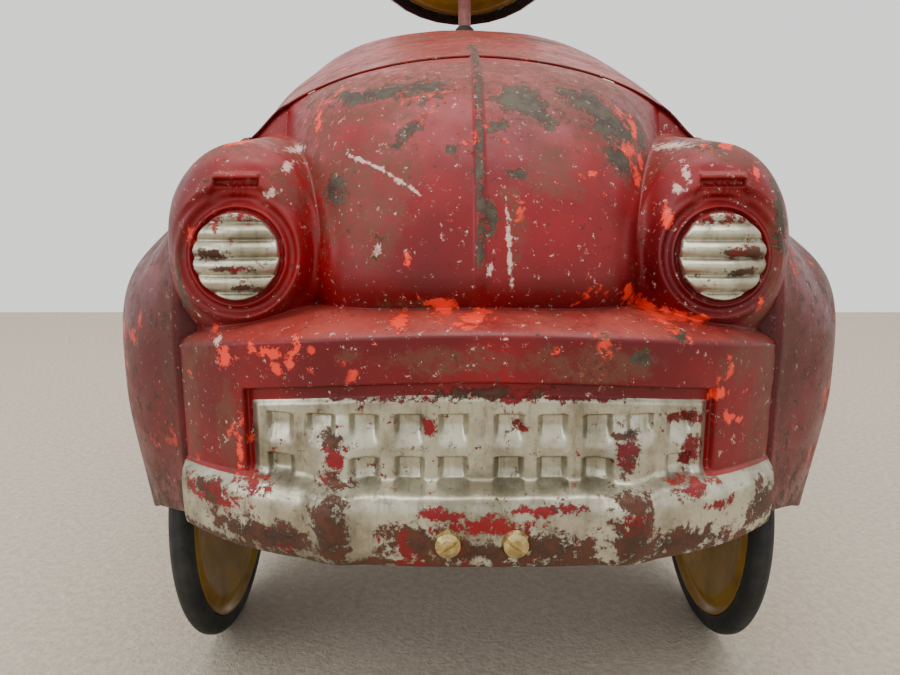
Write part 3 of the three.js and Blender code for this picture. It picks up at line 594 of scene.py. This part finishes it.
def lamp_relief(x, z, base):
    """Ribbed lens sunk in a double ring, with a small hooded slit over it."""
    out = np.abs(x)
    dx = out - LAMP_X
    dz = z - LAMP_Z
    radius = np.hypot(dx, dz)
    seat = LAMP_FACE_Y + 0.03 * dx + 0.16 * dz
    ribs = np.abs(np.sin(math.pi * (dz + 0.6) / 7.6)) ** 0.8
    lens = seat - 0.6 - 5.0 * (1 - (radius / LENS_RADIUS) ** 2) - 3.0 * ribs
    bead = 3.0 * np.exp(-((radius - 21.6) / 1.3) ** 2) + 2.4 * np.exp(-((radius - 27.6) / 2.0) ** 2)
    ring = seat + 2.6 - bead
    edge = smoothstep(LENS_RADIUS - 0.5, LENS_RADIUS + 0.5, radius)
    lamp = lens * (1 - edge) + ring * edge
    mask = smoothstep(BEZEL_RADIUS + 5.5, BEZEL_RADIUS - 0.5, radius)
    depth = base * (1 - mask) + lamp * mask

    inboard = smoothstep(6, -10, dx)
    arm = np.hypot(dx + 4, np.maximum(dz, 0) * 0.86 + np.minimum(dz, 0))
    depth = depth - 1.5 * np.exp(-((arm - 36) / 3.2) ** 2) * inboard * smoothstep(-14, 2, dz)

    lip = smoothstep(10.6, 9.2, np.abs(dx)) * smoothstep(33.2, 34.0, dz) * smoothstep(36.6, 35.2, dz)
    slit = smoothstep(10.0, 8.8, np.abs(dx)) * smoothstep(29.6, 31.4, dz) * smoothstep(33.6, 33.0, dz)
    pocket = smoothstep(15.5 - 0.5 * (dz - 22), 12.5 - 0.5 * (dz - 22), np.abs(dx))
    pocket = pocket * smoothstep(22.5, 26, dz) * smoothstep(34, 32, dz)
    strips = smoothstep(1.1, 0.5, np.abs(np.abs(dx) - 2.6)) + smoothstep(1.1, 0.5, np.abs(dx))
    strips = strips * smoothstep(25.5, 27, dz) * smoothstep(33, 31, dz)
    return depth - 1.8 * lip + 2.6 * slit + 1.4 * pocket - 1.2 * strips


def nose_piece():
    columns, rows = ((561, 461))
    side = np.linspace(-1, 1, columns)
    up = np.linspace(0, 1, rows)
    side, up = np.meshgrid(side, up)
    top = seam_height(side * NOSE_HALF_TOP)
    z = NOSE_BOTTOM_Z + up * (top - NOSE_BOTTOM_Z)
    grow = np.minimum((z - NOSE_BOTTOM_Z) / 140, 1)
    x = side * (NOSE_HALF_BOTTOM + (NOSE_HALF_TOP - NOSE_HALF_BOTTOM) * grow)
    base = nose_depth(x, z)
    y = lamp_relief(x, z, base) + grille_relief(x, z)

    crease = np.exp(-(np.abs(x) / 2.3) ** 4) * smoothstep(266, 276, z) * 1.7
    y = y - crease * np.clip((y + 300) / -126, 0.2, 1)
    z = z + crease * np.clip((y + 440) / 110, 0, 1)
    y = y + 0.5 * lumps(x, y, z, 90, 3) + 0.25 * lumps(x, y, z, 30, 4)
    points = np.stack([x, y, z], -1)

    layers = {
        "silver": nose_silver(x, z),
        "chip": nose_chips(x, z),
        "rim": nose_chips(x, z) * 1.1,
        "haze": nose_haze(x, z),
        "touch": nose_touch(x, z),
        "rust": nose_rust(x, z),
        "bare": nose_bare(x, z),
        "mark": nose_marks(x, z),
    }
    piece = grid_piece("nose_pressing", points, MATERIALS["red"], layers=layers)
    thicken(piece, NOSE_GAUGE)
    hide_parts("nose_panel")


def patch(x, z, centre, size, angle=0.0, power=2.0):
    """2 in the middle of an oval patch, 1 on its border, 0 well outside it."""
    turn = math.radians(angle)
    dx = x - centre[0]
    dz = z - centre[1]
    across = (dx * math.cos(turn) + dz * math.sin(turn)) / size[0]
    along = (-dx * math.sin(turn) + dz * math.cos(turn)) / size[1]
    return np.maximum(2 - (np.abs(across) ** power + np.abs(along) ** power) ** (1 / power), 0)


def strongest(patches):
    return np.maximum.reduce(patches)


def patches(x, z, places):
    return strongest([patch(x, z, *place) for place in places])


def nose_silver(x, z):
    out = np.abs(x)
    top = grille_top(out) - 5.5
    grille = smoothstep(100.1, 98.9, out) * smoothstep(top + 0.6, top - 0.6, z) * smoothstep(184, 186, z)
    bumper_top = 189.5 - 3.4 * (out / NOSE_HALF_BOTTOM) ** 2
    bumper = smoothstep(bumper_top + 0.8, bumper_top - 0.8, z)
    lens = smoothstep(LENS_RADIUS + 0.2, LENS_RADIUS - 0.6, np.hypot(out - LAMP_X, z - LAMP_Z))
    return np.maximum.reduce([grille, bumper, lens])


def nose_chips(x, z):
    rib = 1.3 * smoothstep(2.4, 1.4, np.abs(x)) * smoothstep(270, 284, z)
    return np.maximum(rib, patches(x, z, [
        ((-48, 357), (27, 3.6), 2, 4), ((-25, 357.5), (9, 5.5), 0, 3),
        ((21, 352), (13, 6.5), -18), ((28, 345), (8, 4), -40),
        ((52, 354), (12, 6), -15), ((60, 344), (13, 7), -35), ((74, 340), (9, 6), -10),
        ((66, 326), (8, 8), -60), ((-31, 338), (8, 2.6), 38), ((-36, 331), (3, 2)),
        ((16, 318), (5, 3), -20), ((8, 340), (4, 2.4)), ((-66, 312), (5, 6)), ((4, 300), (3, 7)),
        ((-12, 329), (3, 2)), ((104, 331), (7, 2), 5), ((80, 334), (4, 5)),
        ((134, 300), (3, 18)), ((-134, 268), (2, 10)), ((84, 250), (3, 4)), ((66, 243), (4, 3)),
    ]))


def nose_haze(x, z):
    return patches(x, z, [
        ((-58, 363), (34, 9)), ((-22, 366), (26, 8)), ((-55, 346), (28, 5)), ((45, 362), (40, 9)),
        ((36, 350), (22, 10)), ((66, 338), (26, 20), -30), ((-62, 312), (20, 26)), ((-38, 316), (12, 18)),
        ((30, 314), (12, 14)), ((14, 300), (6, 16)), ((110, 334), (20, 8)), ((-112, 333), (20, 7)),
        ((0, 243), (52, 6)), ((40, 240), (28, 5)), ((132, 212), (8, 52)), ((-134, 230), (4, 60)),
        ((0, 372), (70, 5)), ((118, 236), (12, 10)), ((-30, 262), (16, 3)), ((-112, 206), (5, 14)),
        ((134, 300), (5, 30)), ((-126, 240), (10, 5)),
    ])


def nose_touch(x, z):
    return patches(x, z, [
        ((-17, 262), (6, 3.4), -10), ((-34, 257), (3, 2.4)), ((-2, 258), (7, 2), 12),
        ((-78, 346), (1.8, 6.5), 6), ((-88, 243.5), (6, 2.4)), ((-98, 245), (2, 2)), ((-79, 244), (2.4, 2)),
        ((-86, 237), (2, 3.6)), ((-80, 239), (1.6, 2)), ((-77, 246), (1.5, 4)), ((-112, 239), (4, 4)),
        ((68, 265), (3, 4)), ((78, 258), (9, 3), -40), ((90, 256), (7, 2), -12), ((100, 255), (4, 1.5)),
        ((76, 340), (2, 7)), ((71, 331), (4, 3)), ((78, 326), (1.6, 5)), ((-112, 333), (8, 1.4), 8),
        ((74, 318), (3, 5)), ((50, 318), (4, 2)), ((104, 224), (4, 2.6), 20), ((110, 212), (3, 2.4)),
        ((117, 210), (2, 1.4)), ((-128, 292), (1.6, 3)), ((-31, 282), (2, 3)), ((-106, 196), (1.6, 7)),
        ((-92, 212), (1.6, 4)), ((30, 246), (1.6, 1.6)), ((112, 332), (3, 2)), ((122, 318), (2, 3)),
        ((126, 262), (2, 3)), ((84, 300), (2, 5)),
    ])


def nose_marks(x, z):
    """Light scratches, a curved one on the left of the snout among them."""
    sweep = np.abs(z - 316 + 0.62 * (x + 36) + 0.006 * (x + 36) ** 2)
    sweep = (1.5 - sweep) * smoothstep(-64, -58, x) * smoothstep(-22, -28, x)
    streak = patch(x, z, (12, 286), (0.9, 15), 3)
    return np.maximum(np.maximum(sweep, 0), np.maximum(streak, patches(x, z, [
        ((-44, 286), (1.4, 1.8)), ((4, 278), (1.2, 2)), ((-90, 333), (3, 2.4)), ((-118, 338), (2, 3)),
        ((88, 312), (1.6, 2)), ((92, 318), (1.2, 4)), ((-87, 322), (1.4, 2.6)), ((96, 334), (4, 2), 10),
        ((-92, 310), (2.6, 1.4)), ((-116, 246), (1.4, 2)),
    ])))


def nose_rust(x, z):
    out = np.abs(x)
    hem = 1.25 * smoothstep(165, 159, z)
    return np.maximum(hem, np.maximum(
        patch(out, z, (OVERRIDER_X, 173), (8.5, 17)),
        patches(x, z, [
            ((-26, 167), (14, 8)), ((28, 166), (16, 7)), ((0, 164), (30, 5)), ((86, 164), (20, 5)),
            ((-92, 166), (26, 6)), ((130, 170), (9, 9)), ((-122, 180), (8, 4)), ((4, 228), (22, 2.2), 0, 4),
            ((-116, 284), (7, 2.4)), ((-106, 277), (8, 1.6)), ((114, 284), (9, 2.4)), ((112, 276), (8, 1.8)),
            ((-104, 269), (7, 1.8)), ((62, 210), (5, 2)), ((-62, 208), (4, 3)),
        ]),
    ))


def nose_bare(x, z):
    out = np.abs(x)
    crown = 1.0 * smoothstep(11, 16, z - LAMP_Z) * smoothstep(21, 19, np.hypot(out - LAMP_X, z - LAMP_Z))
    return np.maximum(crown, patches(x, z, [
        ((-16, 180), (9, 3)), ((0, 176), (20, 3)), ((24, 182), (12, 1.8)), ((-62, 201), (4, 5)),
        ((62, 202), (4, 5)), ((-60, 226), (26, 1.8)), ((40, 226), (40, 1.6)), ((92, 200), (4, 8)),
        ((90, 186), (8, 3)), ((-98, 186), (6, 3)), ((-86, 164), (10, 4)), ((-118, 178), (14, 4)),
        ((104, 178), (8, 2)), ((86, 214), (8, 3)), ((-22, 214), (3, 3)), ((14, 214), (4, 2)),
    ]))


# ---------------------------------------------------------------- hood, sides, tail

PANEL_GAUGE = 1.0
COLUMN_HOLE_RADIUS = 8.2
HOOD_CENTRE = [[0, -324.6, 384.2], [0, -250, 407], [0, -150, 435], [0, -60, 457], [0, -20, 463]]

SIDE_RIBS = np.array([
    [[138, -306, 333], [144.4, -362, 314], [142.5, -395, 268], [141.5, -399, 210], [140.5, -399, 158]],
    [[134, -298, 342], [153, -330, 307], [173, -366, 262], [178, -369, 205], [172, -362, 146]],
    [[132, -288, 344], [160, -305, 307], [192, -335, 266], [198, -335, 215], [190, -330, 132]],
    [[136, -260, 343], [165, -265, 308], [196, -275, 270], [203, -275, 220], [199, -275, 110]],
    [[145, -200, 342], [170, -200, 312], [195, -200, 272], [203, -200, 220], [199, -200, 100]],
    [[156, -120, 341], [174, -120, 314], [186, -120, 275], [193, -125, 215], [190, -120, 82]],
    [[167, -45, 340], [175, -45, 318], [178, -45, 280], [180, -45, 210], [178, -45, 78]],
    [[166, 30, 312], [173, 30, 300], [176, 30, 265], [178, 30, 200], [177, 30, 78]],
    [[165, 110, 306], [172, 110, 295], [175, 110, 262], [178, 110, 200], [177, 110, 78]],
    [[160, 185, 330], [172, 185, 312], [182, 185, 270], [190, 185, 212], [187, 185, 84]],
    [[152, 250, 342], [172, 250, 318], [196, 250, 272], [203, 250, 218], [199, 250, 105]],
    [[144, 320, 337], [168, 320, 312], [194, 320, 268], [202, 325, 215], [198, 330, 105]],
    [[141, 372, 312], [160, 380, 290], [182, 392, 255], [190, 400, 208], [187, 400, 122]],
    [[141, 408, 272], [150, 420, 258], [165, 430, 235], [170, 437, 200], [168, 436, 124]],
    [[141, 428, 235], [141, 434, 222], [141, 439, 200], [141, 442, 170], [141, 442, 126]],
], dtype=float)
TAIL_FIRST_RIB = 10
TAIL_CENTRE = [
    [0, 250, 357], [0, 305, 357], [0, 355, 344], [0, 398, 315], [0, 430, 272],
    [0, 453, 222], [0, 461.3, 175], [0, 457, 126],
]
ARCH_RADIUS = 117
HEM_LINE_Y = [-400, -330, -120, 180, 330, 440]
HEM_LINE_Z = [158, 132, 84, 84, 108, 126]
LEFT_FENDER_DENT = 5.5
RIGHT_FENDER_BULGE = 1.5


def side_surface(along, down):
    """Points along the car and down the ribs; down is one row for all ribs, or a row for each."""
    lines = np.stack([spline(SIDE_RIBS[:, line], along) for line in range(SIDE_RIBS.shape[1])])
    result = np.empty((len(along), down.shape[-1], 3))
    for i in range(len(along)):
        result[i] = spline(lines[:, i], down[i] if down.ndim == 2 else down)
    return result


def reach_to_arches(along):
    """How far down each rib the sheet runs, from 0 to 1, before a wheel arch cuts it off."""
    steps = 200
    probe = side_surface(along, np.linspace(0, 1, steps + 1))
    reach = np.empty(len(along))
    for i in range(len(along)):
        y, z = probe[i, :, 1], probe[i, :, 2]
        inside = np.zeros(len(y), dtype=bool)
        for axle in (FRONT_AXLE_Y, REAR_AXLE_Y):
            inside |= np.hypot(y - axle, z - WHEEL_RADIUS) < ARCH_RADIUS
        reach[i] = (np.argmax(inside) - 1) / steps if inside.any() else 1.0
    return np.convolve(np.pad(reach, 1, "edge"), [0.2, 0.6, 0.2], "valid")


def rolled_hem(x, y, z):
    """The lower edge rolled inwards and up."""
    rows = []
    for turn in np.linspace(0, 1, 7)[1:]:
        angle = turn * math.pi * 0.95
        inward = 3.0 * (1 - math.cos(angle))
        lower = 1.5 * math.sin(angle)
        rows.append(np.stack([x - inward, y, z - lower + 3 * turn], -1))
    return np.stack(rows, 1)


def turned_lip(x, y, z):
    """The upper edge turned inwards and down, from its free edge to the sheet."""
    rows = []
    for turn in np.linspace(1, 0, 6)[:-1]:
        angle = turn * math.pi * 0.8
        inward = 2.4 * (1 - math.cos(angle))
        lower = 3.0 * math.sin(angle) * turn
        rows.append(np.stack([x - inward, y, z - lower], -1))
    return np.stack(rows, 1)


def side_piece(side):
    columns, rows = ((480, 110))
    along = np.linspace(0, 1, columns)
    down = np.linspace(0, 1, rows)[None] * reach_to_arches(along)[:, None]
    points = side_surface(along, down)
    x, y, z = points[..., 0], points[..., 1], points[..., 2]
    x = x + 0.7 * lumps(x, y, z, 120, 11) * smoothstep(0, 0.15, down)

    hem = rolled_hem(x[:, -1], y[:, -1], z[:, -1])
    lip = turned_lip(x[:, 0], y[:, 0], z[:, 0])
    points = np.concatenate([lip, np.stack([x, y, z], -1), hem], 1)
    tuck = [points[:1] + np.array([-2.4, 1.4, 0]) * step for step in (5, 4, 3, 2, 1)]
    points = np.concatenate([*tuck, points])
    squeeze = LEFT_FENDER_DENT if side < 0 else -RIGHT_FENDER_BULGE
    near = np.exp(-((points[..., 1] + 300) / 110) ** 2) * smoothstep(150, 200, points[..., 0])
    points[..., 0] -= squeeze * near
    layers = side_wear(points, side)
    if side < 0:
        points = points * np.array([-1, 1, 1])
    else:
        points = points[::-1]
        layers = {layer: values[::-1] for layer, values in layers.items()}
    name = "right" if side > 0 else "left"
    piece = grid_piece(f"side_pressing_{name}", points, MATERIALS["red"], layers=layers)
    thicken(piece, PANEL_GAUGE)
    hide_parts(f"side_panel_{name}")


def side_wear(points, side):
    """Wear of one side: patches seen from the front, and along the hem and the arches; also painted shade
    over the front of the fender.
    """
    x, y, z = points[..., 0], points[..., 1], points[..., 2]
    hem = np.minimum(z - np.interp(y, HEM_LINE_Y, HEM_LINE_Z), 60)
    for axle in (FRONT_AXLE_Y, REAR_AXLE_Y):
        hem = np.minimum(hem, np.hypot(y - axle, z - WHEEL_RADIUS) - ARCH_RADIUS)
    low = smoothstep(26, 2, hem)
    front = smoothstep(-322, -338, y)
    if side < 0:
        haze = front * patches(x, z, [((196, 200), (11, 62)), ((180, 290), (16, 14)), ((148, 240), (5, 60))])
        chip = front * patches(x, z, [((198, 190), (5, 24)), ((194, 158), (5, 12)), ((186, 276), (6, 5))])
        touch = front * patches(x, z, [
            ((192, 250), (3, 4)), ((185, 241), (4.4, 4.4)), ((172, 241), (3.6, 3.4)), ((188, 229), (3.4, 2)),
            ((182, 224), (2.4, 2)), ((166, 250), (1.6, 3)), ((192, 262), (2, 3)),
        ])
    else:
        haze = front * patches(x, z, [
            ((190, 268), (12, 22)), ((203, 210), (8, 60)), ((150, 236), (7, 60)), ((196, 160), (14, 18)),
        ])
        chip = front * patches(x, z, [
            ((198, 268), (7, 9)), ((206, 226), (5, 20)), ((205, 188), (5, 18)), ((200, 166), (4, 10)),
        ])
        touch = front * patches(x, z, [
            ((186, 290), (2.6, 7), 25), ((191, 279), (3, 8), 25), ((194, 249), (3, 5)), ((183, 206), (3, 5)),
            ((188, 212), (2, 3)), ((176, 176), (2, 5)), ((200, 240), (2, 4)),
        ])
    ridge = smoothstep(318, 334, z) * 0.75
    haze = strongest([haze, 0.55 + 0.5 * low, ridge])
    chip = np.maximum(chip, 0.42 + 0.5 * low)
    # Painted shade layer: 0 behind Y -240, rising to 1 towards the front of the fender
    painted_shade = smoothstep(-240, -330, y)
    return {"haze": haze, "chip": chip, "rim": chip * 1.12, "touch": touch, "painted_shade": painted_shade}


def hood_surface(side, v):
    s = np.sin(np.abs(side) * math.pi / 2)
    crown = spline(HOOD_CENTRE, v)
    half_width = 128 + 36 * v
    edge_z = 341 + 2 * (1 - v)
    front_drop = 0.74 * s ** 2 + 0.26 * s ** 14
    rear_drop = 1 - (1 - np.minimum(s, 1) ** 2.65) ** (1 / 2.65)
    blend = 1 - (1 - v) ** 3
    drop = front_drop + (rear_drop - front_drop) * blend
    y = crown[..., 1] + 30 * s * s * (1 - v)
    return np.stack([np.sign(side) * s * half_width, y, crown[..., 2] - drop * (crown[..., 2] - edge_z)], -1)


def hood_piece():
    columns, rows = ((241, 121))
    side, v = np.meshgrid(np.linspace(-1, 1, columns), np.linspace(0, 1, rows))
    points = hood_surface(side, v)
    x, y, z = points[..., 0], points[..., 1], points[..., 2]
    z = z + 1.4 * np.exp(-(x / 3.0) ** 2) * smoothstep(-170, -300, y)
    z = z + 1.1 * lumps(x, y, z, 110, 21) * smoothstep(0, 0.1, v)
    meet = smoothstep(0.16, 0.0, v) * smoothstep(1.0, 0.9, np.abs(side))
    x, y, z = meet_the_nose(x, y, z, meet)
    points = np.stack([x, y, z], -1)
    layers = hood_wear(x, y)
    piece = grid_piece("hood_pressing", points, MATERIALS["red"], layers=layers)
    cut_column_hole(piece)
    thicken(piece, PANEL_GAUGE)
    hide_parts("hood_panel")


def meet_the_nose(x, y, z, meet):
    """Draws the hood's front edge down over the top edge of the nose pressing."""
    out = np.abs(x)
    length = np.maximum(SNOUT_LENGTH - 24 * (out / 72) ** 4, 20)
    edge_y = SNOUT_CENTRE_Y - 0.2 * length - 3.5
    edge_z = seam_height(np.minimum(out, NOSE_HALF_TOP)) + 0.6
    return x, y + (edge_y - y) * meet, z + (edge_z - z) * meet


def hood_wear(x, y):
    crown = smoothstep(60, 20, np.abs(x))
    haze = np.maximum(0.72 + 0.2 * crown, 0.9 * smoothstep(-70, -30, y))
    chip = np.maximum(0.36, 1.2 * smoothstep(2.6, 1.6, np.abs(x)) * smoothstep(-250, -290, y))
    chip = np.maximum(chip, patches(x, y, [
        ((60, -180), (22, 10), 30), ((-70, -90), (16, 8)), ((110, -60), (20, 9)),
    ]))
    return {"haze": haze, "chip": chip, "rim": chip * 1.12}


def cut_column_hole(piece):
    """Removes the faces inside the bush, so that the rod passes through a real hole."""
    bush_lo, bush_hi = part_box("cowl_bush")
    centre = (Vector(bush_lo) + Vector(bush_hi)) / 2
    reach = COLUMN_HOLE_RADIUS * MM
    mesh = bmesh.new()
    mesh.from_mesh(piece.data)
    inside = [face for face in mesh.faces if (face.calc_center_median() - centre).length < reach]
    bmesh.ops.delete(mesh, geom=inside, context="FACES")
    mesh.to_mesh(piece.data)
    mesh.free()


def tail_piece():
    columns, rows = ((161, 181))
    side, v = np.meshgrid(np.linspace(1, -1, columns), np.linspace(0, 1, rows))
    edge_points = np.vstack([SIDE_RIBS[TAIL_FIRST_RIB:, 0], SIDE_RIBS[-1, 1:]])
    edge = spline(edge_points, 1 - v)
    crown = spline(TAIL_CENTRE, 1 - v)
    bulge = 1 - np.abs(side) ** 2.4
    x = side * (edge[..., 0] - 1.7)
    y = edge[..., 1] + (crown[..., 1] - edge[..., 1]) * bulge
    z = edge[..., 2] + (crown[..., 2] - edge[..., 2]) * bulge
    z = z + 0.8 * lumps(x, y, z, 130, 31) * smoothstep(0, 0.1, v) * smoothstep(1, 0.9, v)
    points = np.stack([x, y, z], -1)
    deck = smoothstep(330, 350, z)
    low = smoothstep(170, 130, z)
    haze = np.maximum(0.5 + 0.35 * deck, 0.55 + 0.45 * low)
    chip = np.maximum(0.4 + 0.5 * low, patches(x, z, [
        ((-40, 300), (18, 9), 20), ((62, 250), (14, 10), -30), ((10, 216), (10, 16)), ((-90, 190), (14, 8)),
    ]))
    layers = {"haze": haze, "chip": chip, "rim": chip * 1.12}
    piece = grid_piece("tail_pressing", points, MATERIALS["red"], layers=layers)
    thicken(piece, PANEL_GAUGE)
    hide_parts("tail_panel")


# ---------------------------------------------------------------- wheels


RIM_RADIUS = 88.0
CAP_GAUGE = 0.7


def turned_points(profile, facets, centre, side):
    """A profile of (radius, outward) points turned about the X axis."""
    angle = np.linspace(0, 2 * math.pi, facets, endpoint=False)
    profile = np.asarray(profile, dtype=float)
    radius = profile[:, 0][:, None]
    outward = profile[:, 1][:, None] * np.ones_like(angle)[None]
    along = centre[1] + radius * np.cos(angle)
    height = centre[2] + radius * np.sin(angle)
    points = np.stack([centre[0] + side * outward, along, height], -1)
    return points if side > 0 else points[:, ::-1]


def smooth_profile(points, count):
    return spline(np.asarray(points, dtype=float), np.linspace(0, 1, count))


def tyre_piece(place, centre, side):
    half = TYRE_HALF_WIDTH
    rim = RIM_RADIUS
    tread = WHEEL_RADIUS
    tyre = smooth_profile([
        (rim + 0.4, -half + 2.6), (rim + 2.2, -half + 0.3), (rim + 6, -half), (tread - 3.5, -half + 1.0),
        (tread - 0.5, -half + 4.0), (tread, 0), (tread - 0.5, half - 4.0), (tread - 3.5, half - 1.0),
        (rim + 6, half), (rim + 2.2, half - 0.3), (rim + 0.4, half - 2.6), (rim + 0.4, -half + 2.6),
    ], 60)
    points = turned_points(tyre, 128, centre, side)
    body = f"wheel_{place}"
    piece = grid_piece(f"tyre_skin_{place}", points, MATERIALS["rubber"], body, closed=True)
    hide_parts(f"tyre_{place}")


def disc_piece(place, centre, side):
    inboard_face = smooth_profile([
        (10.3, 0.0), (19, -0.6), (23, 0.8), (33, 4.6), (40, 5.2), (58, 2.0), (70, -2.2), (77, -4.4),
        (80, -3.2), (83.5, -2.4), (86.2, -4.6), (87.4, -6.2), (88.6, -6.6),
    ], 70)
    outboard_face = smooth_profile([
        (88.9, -6.0), (87.9, -3.5), (87.9, 4.2), (88.9, 6.4), (88.2, 6.8), (86.8, 5.2), (86.4, -2.6),
        (83.5, -1.2), (80, -2.0), (77, -3.2), (70, -1.0), (58, 3.2), (40, 6.4), (33, 5.8), (23, 2.0),
        (19, 0.6), (10.3, 1.2), (10.3, 0.0),
    ], 90)
    points = turned_points(np.vstack([inboard_face, outboard_face]), 96, centre, side)
    body = f"wheel_{place}"
    piece = grid_piece(f"disc_skin_{place}", points, MATERIALS["yellow"], body, closed=True)
    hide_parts(f"wheel_disc_{place}")


def cap_piece(place, centre, side):
    cap = smooth_profile([
        (23.4, 6.0), (23.2, 7.2), (22.0, 8.0), (21.4, 10.5), (20.5, 15.5), (17, 18.2), (11.5, 19.9),
        (5, 20.8), (0.01, 21),
    ], 40)
    points = turned_points(cap, 64, centre, side)
    body = f"wheel_{place}"
    piece = grid_piece(f"cap_skin_{place}", points, MATERIALS["bright"], body, closed=True)
    thicken(piece, CAP_GAUGE)
    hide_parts(f"hub_cap_{place}")


def wheel_pieces(place):
    centre = WHEEL_CENTRE[place]
    side = -1 if place.endswith("left") else 1
    tyre_piece(place, centre, side)
    disc_piece(place, centre, side)
    cap_piece(place, centre, side)


# ---------------------------------------------------------------- floor


FLOOR_REACH = 6.0
FLOOR_BACK_EDGE = 1.42


def add_stage():
    mesh = bpy.data.meshes.new("floor")
    near = [(-FLOOR_REACH, -FLOOR_REACH, 0), (FLOOR_REACH, -FLOOR_REACH, 0)]
    far = [(FLOOR_REACH, FLOOR_BACK_EDGE, 0), (-FLOOR_REACH, FLOOR_BACK_EDGE, 0)]
    mesh.from_pydata(near + far, [], [(0, 1, 2, 3)])
    floor = bpy.data.objects.new("floor", mesh)
    bpy.context.scene.collection.objects.link(floor)
    s = Shader("pale_floor", None)
    colour = s.mix(s.step(s.noise(160, 8, 0.7), 0.3, 0.7), srgb(202, 190, 172), srgb(176, 163, 146))
    material = s.finish(colour, 0.9, 0.0, s.noise(300, 6), 0.002)
    floor.data.materials.append(material)


# ---------------------------------------------------------------- the scene

add_camera()
add_world()
add_stage()
add_light("ceiling", (0.1, -0.5, 2.3), (0, -0.1, 0.2), (2.2, 1.6), CEILING_WATTS, (1.0, 0.98, 0.95))
add_light("window", (-1.7, -1.5, 1.4), (0, -0.2, 0.25), (1.4, 1.4), WINDOW_WATTS, (0.95, 0.98, 1.0))
dress_cad_nodes()
nose_piece()
hood_piece()
side_piece(-1)
side_piece(1)
tail_piece()
for wheel in WHEELS:
    wheel_pieces(wheel)
